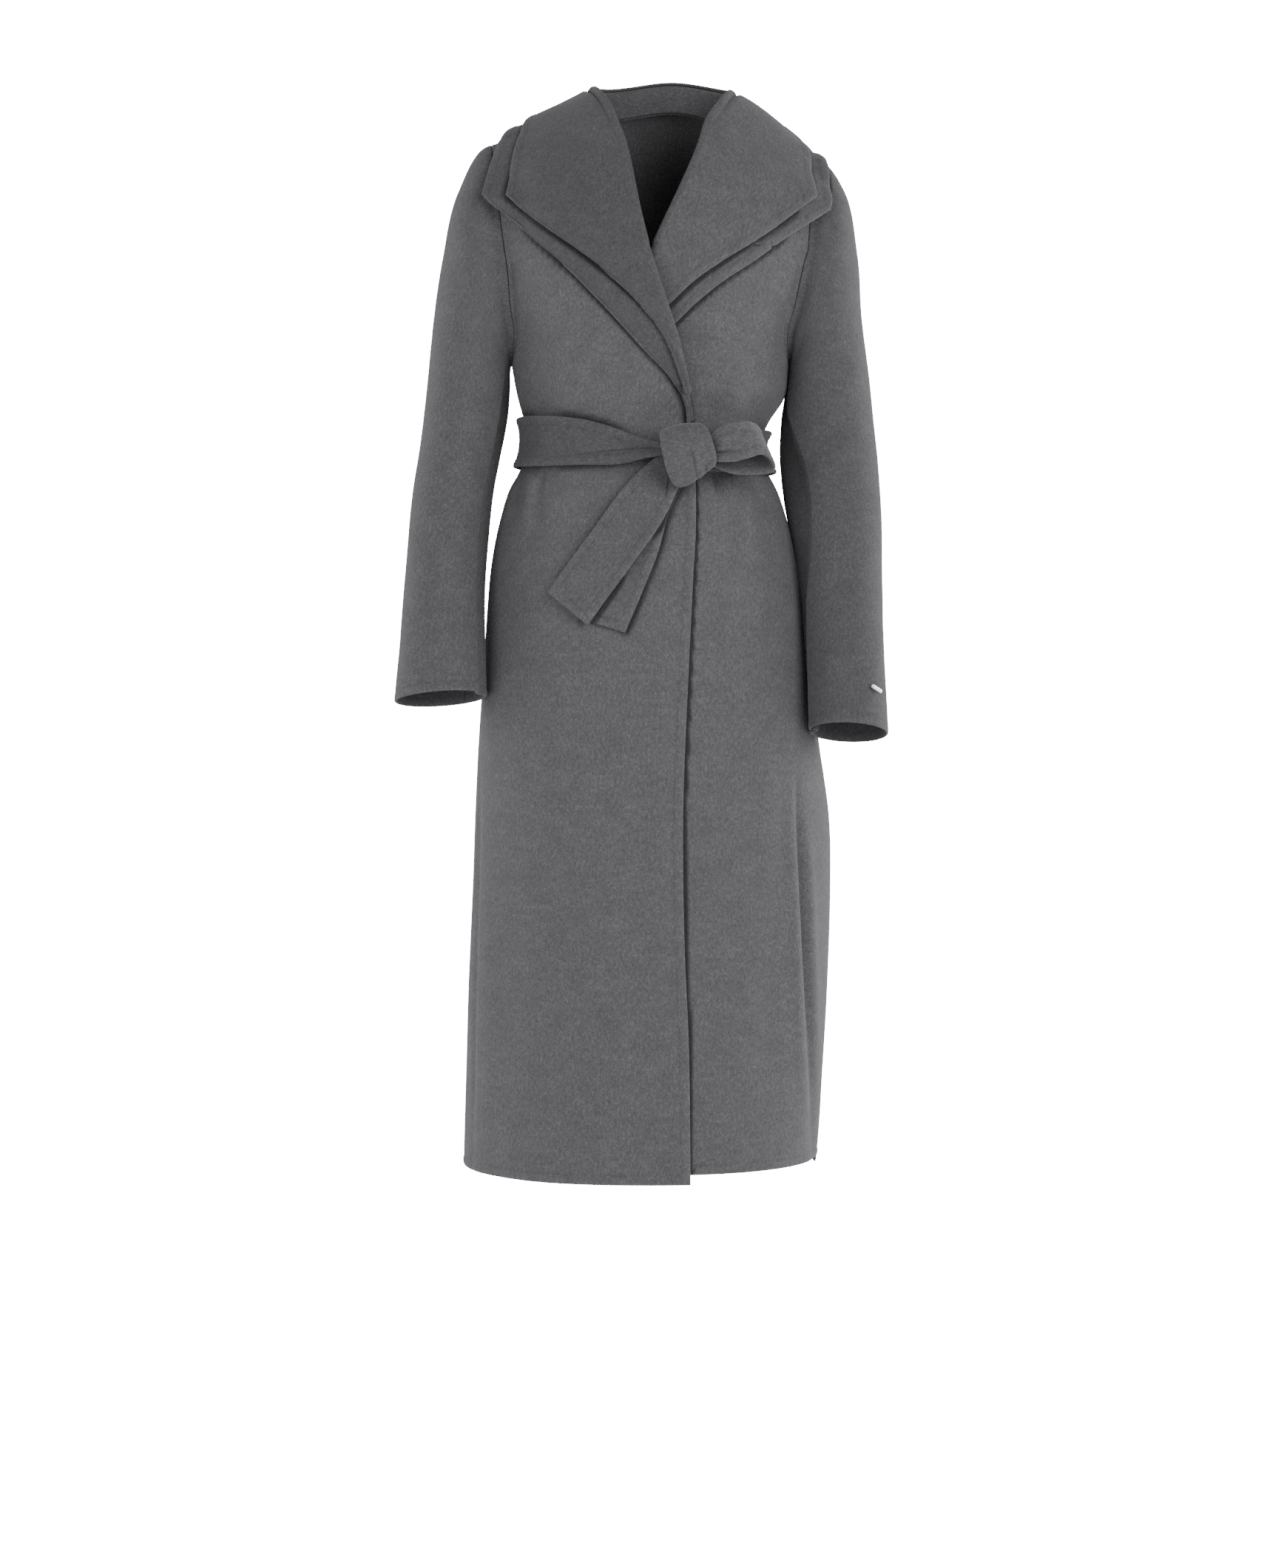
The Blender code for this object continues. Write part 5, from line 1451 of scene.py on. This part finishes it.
    def edge_points(self, side: Side, table: tuple, share: Array) -> Array:
        """The free edge at shares, on the front where the table gives no y."""
        rows = []
        for place, x, y, z in table:
            if y is None:
                q = np.clip(self.form.place_of(x, z), -0.96, 0.96)
                y = float(self.form.points("front", q, z)[1]) - 1.2 * LAYER - self.form.lap(side, q, z)
            rows.append((place, x, y, z))
        rows = np.array(rows, float)
        lapel, back = rows[rows[:, 0] <= self.corner], rows[rows[:, 0] >= self.corner]
        return np.where(
            (share <= self.corner)[:, None],
            smooth(lapel[:, 0], lapel[:, 1:], share),
            smooth(back[:, 0], back[:, 1:], share),
        )

    def layer(self, side: Side, layer: str, line_of: tuple[Array, Array, Array, float]) -> Array:
        """A layer's grid: a section at each station, from its seam over the roll and down to its free edge.

        Args:
            side: The wearer's side.
            layer: lower or upper.
            line_of: The roll line.

        Returns:
            Points in rows, a row for each station.
        """
        table, half, lower = self.edges[(side, layer)], self.stations // 2, layer == "lower"
        shares, line, ways, neck_share = line_of
        below = np.linspace(table[0][0], self.corner, half)
        share = np.concatenate([below, np.linspace(self.corner, 1.0, half)[1:]])
        base = read_line(shares, line, share)
        ahead, behind = np.minimum(share + self.look, 1), share - self.look
        along = unit(read_line(shares, line, ahead) - read_line(shares, line, behind))
        way = sum(read_line(shares, ways, share + step) for step in self.even_over)
        way = unit(way - along * (way * along).sum(axis=1, keepdims=True))
        off = base[:, :2] - np.array(self.neck_axis)
        away = unit(np.stack([off[:, 0], off[:, 1], 0 * share], axis=1))
        profile_places = (0.0, self.corner_place, self.neck_share, 1.0)
        place = np.interp(share, (0.0, self.corner, neck_share, 1.0), profile_places)
        profile = read(self.profile, place, REST)
        stand, droop, spread = profile[:, :1], profile[:, 1:2], profile[:, 2:3]
        upright = ease(stand / self.upright)
        back = ease((share[:, None] - self.level_from) / (1 - self.level_from))
        away = side * np.cross(along, way) * (1 - upright) + away * upright
        away = unit(away * (1 - back) + np.array([0.0, 1.0, 0.0]) * back)
        rising = unit(-side * np.cross(along, away)) * (1 - back) + np.array([0.0, 0.0, 1.0]) * back
        turned = np.sqrt(np.clip(1 - (rising * way).sum(axis=1, keepdims=True) ** 2, 0.0, 1.0))
        root = base + way * (SEAM + (CLOTH / 2 + SEAM) * turned)
        middle = root + rising * (stand + SEAM) + away * (LAYER / 2 + stand * self.lean)
        least, full = self.foot_taper[side]
        size = least + (1 - least) * ease((share[:, None] - table[0][0]) / full)
        radius = (LAYER / 2 if lower else LAYER * 1.5) * size
        path = [root, (root + middle - away * radius) / 2] if lower else []
        for turn in self.turns[layer]:
            angle = np.radians(turn)
            path.append(middle + away * radius * np.cos(angle) + rising * radius * np.sin(angle))
        edge, start = self.edge_points(side, table, share), path[-1]
        length = np.linalg.norm(edge - start, axis=1, keepdims=True)
        lead = start + (away * spread - rising * droop) * length
        path += [(1 - t) ** 2 * start + 2 * t * (1 - t) * lead + t * t * edge for t in self.fall_places]
        last = len(path) - 1
        return through(np.array(path), np.linspace(0, last, last * self.parts + 1)).swapaxes(0, 1)

    def build(
        self,
        panels: dict[str, Array],
        sleeves: dict[int, Array],
        neck: tuple[int, int],
        wool: bpy.types.Material,
    ) -> None:
        """Makes both layers on both sides. Past its roll each is kept off what it lies on, where it paints a
        contact shadow.
        """
        for side in reversed(Side):
            word, front, back = side.word, panels[f"front_{side.word}"], panels["back"]
            under = ((back, BODY_CORE), (front, BODY_CORE), (sleeves[side], None))
            pressed = (f"front_{word}", f"sleeve_{word}_top", "back")
            line = self.roll_line(side, front, back, *neck)
            for layer, turns in self.turns.items():
                grid = self.layer(side, layer, line)
                roll = self.parts * (len(turns) + (1 if layer == "lower" else -1))
                fall = grid[:, roll:]
                u, v = lengths_along(grid, 0)[:, roll:], lengths_along(fall, 1)
                fall = fall + (kept_off(fall, under, LAYER) - fall) * ease(v / 6.0)[..., None]
                fall = raised(fall, waves(u, v, 56 + side, *self.uneven) * ease(v / 25.0), BODY_CORE)
                grid = np.concatenate([grid[:, :roll], fall], axis=1)
                grid[-1, :, 0] = line[1][-1, 0] - side * SEAM
                edges = (Finish.TURNED, Finish.SEAM, Finish.SEAM, Finish.TURNED)
                shell = Shell(f"collar_{layer}_{word}_cloth", grid, BODY_CORE, CLOTH, edges, plump=0.7)
                shell.nap = (self.nap[side], self.nap_behind)
                dressed(shell.build(), wool)
                # Painted contact shadow beneath the layer's free edge on what it lies on.
                for name in pressed:
                    press_line(f"{name}_cloth", grid[::2, -1])
                under, pressed = ((fall, BODY_CORE),), (f"collar_{layer}_{word}",)


def read_line(shares: Array, points: Array, at: Array) -> Array:
    """Points of a line at shares of its length."""
    return np.stack([np.interp(at, shares, points[:, i]) for i in range(3)], axis=1)


@dataclass
class Belt:
    """The tie belt: a band round the waist, the knot over the crossing, the half bow and two hanging ends.

    Attributes:
        form: The body that it gathers.
        middle: The axis that its turns are counted round.
        bearing: How far above and below a point the band still bears on the waist.
        creased_to: The y up to which the band and the ends are creased, counted from the front.
        folded_to: The same for the knot and the half bow.
        uneven: The height of the cloth's unevenness, and its shortest and longest wave.
        knot_swell: How much fuller the knot is in its middle.
        knot_ends: The knot's tucked ends: each ring's size as a share, and how far in it lies.
        turns: The degrees where the band starts, where its rows grow wider apart and where it ends.
        band_rows: Degrees from the front, clockwise from above, with the band's top, bottom and how far out.
        knot_rows: The knot's rings: left x and z, right x and z, and y.
        loop_rows: The half bow: top x and z, bottom x and z, top y and bottom y.
        tail_rows: The ends: left x and z, right x and z, and how far out from the coat.
        creases: Folds of each piece's front, in x and z.
        cuts: Each piece's cut.
    """

    form: BodyForm
    middle: tuple = (8.0, 0.0)
    bearing: float = 8.0
    creased_to: float = -70.0
    folded_to: float = -143.0
    uneven: tuple = (0.3, 18.0, 90.0)
    turns: tuple = (-2.0, 40.0, 338.0)
    knot_swell: float = 3.0
    knot_ends: tuple = ((0.02, 4.8), (0.14, 4.4), (0.35, 3.6), (0.6, 2.2), (0.8, 1.0), (0.93, 0.3))
    band_rows: tuple = (
        (-2, -381, -395, 33), (8, -377, -398.5, 20.5), (22, -365, -404, 13.5), (38, -354, -404, 12),
        (60, -347, -403, 9), (90, -344, -400, 5.6), (135, -347, -402, 5.4), (180, -351, -405, 5.4),
        (225, -355, -406, 5.4), (270, -359, -407, 5.2), (300, -361, -409, 8), (325, -363, -411, 10.5),
        (338, -364, -411, 11.5),
    )
    knot_rows: tuple = (
        (14, -374, 50, -369, -136), (9, -370, 49, -363, -150), (7, -375, 54, -367, -161),
        (9, -387, 61, -382, -167), (11.5, -398, 66, -397, -167), (15, -413, 65, -408, -162),
        (22, -427, 57, -415, -153), (27, -428, 46, -418, -142), (22, -410, 52, -410, -136),
        (16, -390, 58, -388, -135),
    )
    loop_rows: tuple = (
        (46, -381, 46, -400, -153, -153), (58, -376, 60, -403, -155, -156),
        (70, -367, 72, -404.5, -159, -160), (84, -361.5, 87, -404, -160, -162),
        (98, -359.5, 103, -400, -156, -160), (108, -360.5, 116, -396, -147, -155),
        (113.5, -364, 126, -400, -135, -148), (114.5, -367, 132, -409, -123, -137),
        (108, -369, 126, -415, -113, -131), (92, -371, 103, -416.5, -112, -130),
        (78, -372, 86, -415.5, -120, -134), (64, -375, 68, -410, -133, -140),
        (57, -380, 58, -405, -141, -141), (46, -383, 46, -401, -142, -142),
    )
    tail_rows: ClassVar[dict] = {
        "belt_tail_front": (
            (14, -384, 40, -408, 17), (2, -396, 33, -421, 14.5), (-14, -410, 25, -434, 12.5),
            (-37.8, -435.4, 16, -454, 12), (-60, -466.5, 3, -477, 12), (-84.9, -500.3, -20, -510, 11.5),
            (-106, -529, -50, -550, 11), (-117, -545.5, -73, -582, 10.5),
        ),
        "belt_tail_back": (
            (24, -402, 48, -408, 9), (8, -424, 30, -430, 7), (-12, -460, 15, -462, 6),
            (-32, -500, 4.5, -500.5, 5.5), (-56, -541, -10, -538, 5.5), (-80, -575, -32, -590, 5.5),
        ),
    }
    creases: ClassVar[dict] = {
        "belt_band": (
            (-128, -399, 24, -386, 2, -4.6, 2.5, 1.4), (-120, -402, 24, -394, 5, 2.8, 2, 1.3),
            (-40, -371, 16, -384, 4, 2.6, 1, 1.6), (-90, -380, 12, -383, 3, -1.4, 1, 1.8),
            (-60, -370, 10, -381, 2, -1.2, 0, 1.8), (-150, -352, -60, -356, 3, -1, -1),
            (-140, -366, -70, -372, 9, -1.2, -2),
        ),
        "belt_knot": (
            (37, -386, 46, -428, 1.9, -4, 2, 0.8), (56, -376, 55, -424, 8, -2.4, 0, 0.9),
            (53, -418, 61, -402, 1.8, -3.4), (14, -372, 31, -430, 6, 2.2, -3),
            (23, -368, 36, -406, 4, -1.6, 2), (45, -362, 62, -396, 4, 2, 3),
            (33, -377, 52, -386, 4, -1.2, 1),
        ),
        "belt_loop": (
            (60, -394, 100, -388, 2.4, -5, -2, 0.5), (62, -402, 112, -393, 4, 2.4, -2, 0.9),
            (62, -384, 94, -373, 6, 2, 1), (60, -389, 84, -383, 2, -2, 0.5, 0.6),
        ),
        "belt_tail_front": (
            (18.5, -410, 12, -450, 1.6, -4, -0.5, 0.7), (26, -410, 18, -450, 4, 1.6, 0, 0.8),
            (6, -400, -30, -450, 7, -1.6, 2, 0.8), (4, -474, -44, -544, 8, 6, 0, 0.8),
            (-10, -470, -60, -540, 12, 1.2, 3),
        ),
        "belt_tail_back": (
            (4, -480, -30, -560, 5, 2.2, 2, 0.8), (-8, -470, -34, -530, 5, -3, 0, 0.8),
        ),
    }
    cuts: ClassVar[dict] = {
        "belt_band": Cut(0.053, 0.82, 0.043, "stretched"),
        "belt_knot": Cut(0.053, 0.205, 0.0108, "folded"),
        "belt_loop": Cut(0.045, 0.2, 0.0082, "folded"),
        "belt_tail_front": Cut(0.062, 0.21, 0.0120, "hung"),
        "belt_tail_back": Cut(0.052, 0.207, 0.0085, "hung"),
    }

    def reach(self, angle: Array, z: Array) -> Array:
        """How far the waist reaches at angles and heights: at the ring point nearest to each angle's ray."""
        ring_q = self.form.place_at(np.linspace(-1, 1, 401))
        found = np.zeros(angle.shape)
        aim = np.stack([-np.sin(angle), -np.cos(angle)], axis=-1)
        for name, chosen in (("front", np.cos(angle) > 0), ("back", np.cos(angle) <= 0)):
            ring = self.form.points(name, ring_q[None, :], z[chosen][:, None])[..., :2]
            ring = ring - np.array(self.middle)
            ways = aim[chosen][:, None]
            apart = np.abs(ring[..., 0] * ways[..., 1] - ring[..., 1] * ways[..., 0])
            out = (ring * ways).sum(axis=2)
            best = np.argmin(np.where(out < 0, np.inf, apart), axis=1)
            found[chosen] = np.take_along_axis(out, best[:, None], axis=1)[:, 0]
        return found

    def band(self) -> Array:
        """The band's grid, out from the furthest reach of the waist a little above and below each point."""
        first, wider, last = self.turns
        angles = np.concatenate([np.linspace(first, wider, 12)[:-1], np.linspace(wider, last, 44)])
        rows = read(self.band_rows, angles, REST)
        z = between(rows, 0, 1, np.linspace(0, 1, 5))
        angle = np.radians(np.broadcast_to(angles[:, None], z.shape))
        steps = np.linspace(-self.bearing, self.bearing, 5)
        near = [self.reach(angle.ravel(), (z + step).ravel()) for step in steps]
        out = np.max(near, axis=0).reshape(z.shape) + rows[:, 2:3]
        x, y = self.middle[0] - np.sin(angle) * out, self.middle[1] - np.cos(angle) * out
        return refined(np.stack([x, y, z], axis=-1), 340, 44)

    def knot(self) -> Array:
        """The knot's grid, rings round the crossing, each swollen by sin(pi x share) towards its middle."""
        rows = np.array(self.knot_rows + self.knot_rows[:3], float)
        around = through(rows, np.linspace(1, len(self.knot_rows) + 1, 151)[:-1])
        share = np.linspace(0, 1, 70)
        x, z = between(around, 0, 2, share).T, between(around, 1, 3, share).T
        grid = np.stack([x, np.broadcast_to(around[:, 4], x.shape), z], axis=-1)
        middle = grid.mean(axis=1, keepdims=True) * np.array((0.0, 1.0, 1.0))
        out = unit(grid * np.array((0.0, 1.0, 1.0)) - middle)
        grid = grid + out * (self.knot_swell * np.sin(np.pi * share[:, None]))[..., None]
        first, last = [], []
        for size, step in self.knot_ends:
            shrink, inwards = np.array((1.0, size, size)), np.array((step, 0.0, 0.0))
            first.append(middle[0] + (grid[0] - middle[0]) * shrink + inwards)
            last.insert(0, middle[-1] + (grid[-1] - middle[-1]) * shrink - inwards)
        return np.concatenate([np.array(first), grid, np.array(last)])

    def loop(self) -> Array:
        """The half bow's grid."""
        path = through(np.array(self.loop_rows, float), np.linspace(0, len(self.loop_rows) - 1, 200))
        share = np.linspace(0, 1, 34)
        x, z, y = [between(path, first, last, share) for first, last in ((0, 2), (1, 3), (4, 5))]
        return np.stack([x, y, z], axis=-1)

    def tail(self, rows: tuple) -> Array:
        """A hanging end's grid, out from the front that it lies on."""
        path = through(np.array(rows, float), np.linspace(0, len(rows) - 1, 150))
        share = np.linspace(0, 1, 40)
        x, z = between(path, 0, 2, share), between(path, 1, 3, share)
        coat = self.form.points("front", self.form.place_of(x, z), z)[..., 1]
        off = np.interp(z, column(self.form.stand_off, 0), column(self.form.stand_off, 1))
        return np.stack([x, coat - off - path[:, 4:5], z], axis=-1)

    def build(self, wool: bpy.types.Material) -> None:
        """Makes the belt's five pieces, the band darkest in painted shade given as its nap lying the other way, and
        paints contact shadows on what they lie on.
        """
        grids = {"belt_band": self.band(), "belt_knot": self.knot(), "belt_loop": self.loop()}
        grids |= {name: self.tail(rows) for name, rows in self.tail_rows.items()}
        for number, (name, grid) in enumerate(grids.items()):
            closed, folded = name == "belt_knot", name in ("belt_knot", "belt_loop")
            core, thick = None if closed else BELT_CORE, FOLDED_CLOTH if folded else BELT_CLOTH
            ahead = ease(((self.folded_to if folded else self.creased_to) - grid[..., 1]) / 10.0)
            height = waves(lengths_along(grid, 1), lengths_along(grid, 0), 71 + number, *self.uneven)
            height = creased(height, self.creases[name], grid[..., 0], grid[..., 2], ahead)
            grid = grids[name] = raised(grid, height, core, closed)
            shell = Shell(f"{name}_cloth", grid, core, thick, closed=closed, plump=0.3)
            # Painted shade: the band is darkened fully, the knot, half bow and ends a little.
            shell.nap = (1.0, 1.0) if name == "belt_band" else (0.25, 0.25)
            dressed(shell.build(), wool)
        # Painted contact shadows beside the ends' edges and along the band's top and bottom edges.
        for edge in (0, -1):
            press_line("belt_tail_back_cloth", grids["belt_tail_front"][::4, edge], 2.0)
            for name in self.tail_rows:
                press_line("front_right_cloth", grids[name][::4, edge], 2.5)
            for panel in ("front_right", "front_left", "back"):
                press_line(f"{panel}_cloth", grids["belt_band"][::5, edge], 3.0)


@dataclass
class CuffBar:
    """The small plain metal bar on the wearer's left cuff, a rounded box that lies on the cloth.

    Attributes:
        middle: Its middle.
        along: The way that it runs.
        out: The way that it faces.
        size: Its length, width and thickness.
        rounding: How square its section is: the power of a superellipse, 2 for an ellipse.
    """

    middle: tuple = (245.5, -114.5, -651.5)
    along: tuple = (11.5, 11.0, -6.8)
    out: tuple = (0.66, -0.75, 0.0)
    size: tuple = (18.0, 4.6, 2.0)
    rounding: float = 6.0

    def build(self, steel: bpy.types.Material) -> None:
        """Makes the bar: each point of a sphere pushed out to a superellipsoid, |x|^p + |y|^p + |z|^p = 1."""
        turn, rise = np.meshgrid(np.linspace(0, 2 * np.pi, 49)[:-1], np.linspace(-1.45, 1.45, 25))
        ball = np.stack([np.sin(rise), np.cos(rise) * np.cos(turn), np.cos(rise) * np.sin(turn)], axis=-1)
        ball = ball / (np.abs(ball) ** self.rounding).sum(axis=-1, keepdims=True) ** (1 / self.rounding)
        along = unit(np.array(self.along))
        out = np.array(self.out)
        out = unit(out - along * (out @ along))
        axes = np.stack([along, np.cross(out, along), out])
        grid = np.array(self.middle) + (ball * np.array(self.size) / 2) @ axes
        ends = np.concatenate([np.broadcast_to(grid[:1].mean(axis=1, keepdims=True), grid[:1].shape), grid])
        grid = np.concatenate([ends, np.broadcast_to(grid[-1:].mean(axis=1, keepdims=True), grid[-1:].shape)])
        faces = quads(numbered(*grid.shape[:2], closed=True))
        if grid_normals(grid, None, True)[1]:
            faces = faces[:, ::-1]
        flat = grid.reshape(-1, 3)
        dressed(mesh_object("cuff_bar_metal", flat, faces, flat[:, :2], {}), steel)


@dataclass
class Studio:
    """A pale floor, soft lights and the camera.

    Attributes:
        floor_z: The floor's height, in metres, where a wearer's soles would be.
        floor_half: Half the floor's width, in metres.
        camera: The camera's place, in metres.
        frame_mm: What one row of the image covers at the coat's middle, in millimetres.
        rows: The image's rows.
        horizon: The image row at the camera's own height.
        surround: How bright the light from all round is.
        backdrop: How bright the backdrop shows.
        lit: The place that every light looks at, in metres: the coat's middle.
        lights: The soft lights, in metres and watts.
    """

    floor_z: float = -1.47
    floor_half: float = 9.0
    camera: tuple = (-0.0135, -3.3, -0.626)
    frame_mm: float = 0.846
    rows: float = 2120.0
    horizon: float = 900.0
    surround: float = 0.27
    backdrop: float = 18.0
    lit: tuple = (0.0, 0.0, -0.5)
    lights: tuple = (
        # name, place, size, watts
        ("key", (1.5, -2.6, 0.3), 1.8, 79.0),
        ("fill", (-1.9, -2.6, -0.1), 2.2, 43.0),
        ("rim_right", (-2.6, 0.9, -0.2), 1.8, 60.0),
        ("rim_left", (2.6, 0.9, -0.2), 1.8, 80.0),
    )

    def build(self) -> None:
        """Makes the floor, the lights, the white surround and the camera."""
        half = self.floor_half
        corners = ((-half, -half), (half, -half), (half, half), (-half, half))
        mesh = bpy.data.meshes.new("floor")
        mesh.from_pydata([(x, y, self.floor_z) for x, y in corners], [], [(0, 1, 2, 3)])
        floor = bpy.data.objects.new("floor", mesh)
        floor.data.materials.append(MattPaper().make())
        bpy.context.scene.collection.objects.link(floor)
        for name, place, size, watts in self.lights:
            self.light(name, place, size, watts)
        world = bpy.data.worlds.new("white_surround")
        world.use_nodes = True
        tree = world.node_tree
        soft = tree.nodes["Background"]
        soft.inputs["Color"].default_value = grey(1.0)
        soft.inputs["Strength"].default_value = self.surround
        seen = add_node(tree, "ShaderNodeBackground", in_Color=grey(1.0), in_Strength=self.backdrop)
        ray = add_node(tree, "ShaderNodeLightPath")
        mixed = add_node(
            tree, "ShaderNodeMixShader",
            {0: ray.outputs["Is Camera Ray"], 1: soft.outputs[0], 2: seen.outputs[0]},
        )
        tree.links.new(mixed.outputs[0], tree.nodes["World Output"].inputs["Surface"])
        bpy.context.scene.world = world
        self.place_camera()
        LOG.info("studio: %d lights", len(self.lights))

    def light(self, name: str, place: tuple, size: float, watts: float) -> None:
        """A square area light that looks at the coat's middle."""
        lamp = bpy.data.lights.new(name, "AREA")
        lamp.size = size
        lamp.energy = watts
        obj = bpy.data.objects.new(name, lamp)
        obj.location = place
        aim = Vector(self.lit) - obj.location
        obj.rotation_euler = aim.to_track_quat("-Z", "Y").to_euler()
        bpy.context.scene.collection.objects.link(obj)

    def place_camera(self) -> None:
        """A level camera whose upright angle is 2 atan(rows x row size / 2 / distance)."""
        lens = bpy.data.cameras.new("camera")
        lens.sensor_fit = "VERTICAL"
        lens.angle_y = 2 * np.arctan(self.rows * self.frame_mm * MM / 2 / -self.camera[1])
        lens.shift_y = -(self.rows / 2 - self.horizon) / self.rows
        obj = bpy.data.objects.new("camera", lens)
        obj.location = self.camera
        obj.rotation_euler = (np.pi / 2, 0.0, 0.0)
        bpy.context.scene.collection.objects.link(obj)
        bpy.context.scene.camera = obj


def main() -> None:
    """Builds the coat piece by piece, then the studio."""
    logging.basicConfig(level=logging.INFO, format="%(name)s: %(message)s")
    wool = BrushedWool().make()
    form = BodyForm()
    body = Panels(form)
    panels = body.build(wool)
    sleeves = Sleeves(form).build(panels, wool)
    Collar(form).build(panels, sleeves, (body.side_cols, body.neck_cols), wool)
    Belt(form).build(wool)
    CuffBar().build(PolishedSteel().make())
    Studio().build()


if __name__ == "__main__":
    main()
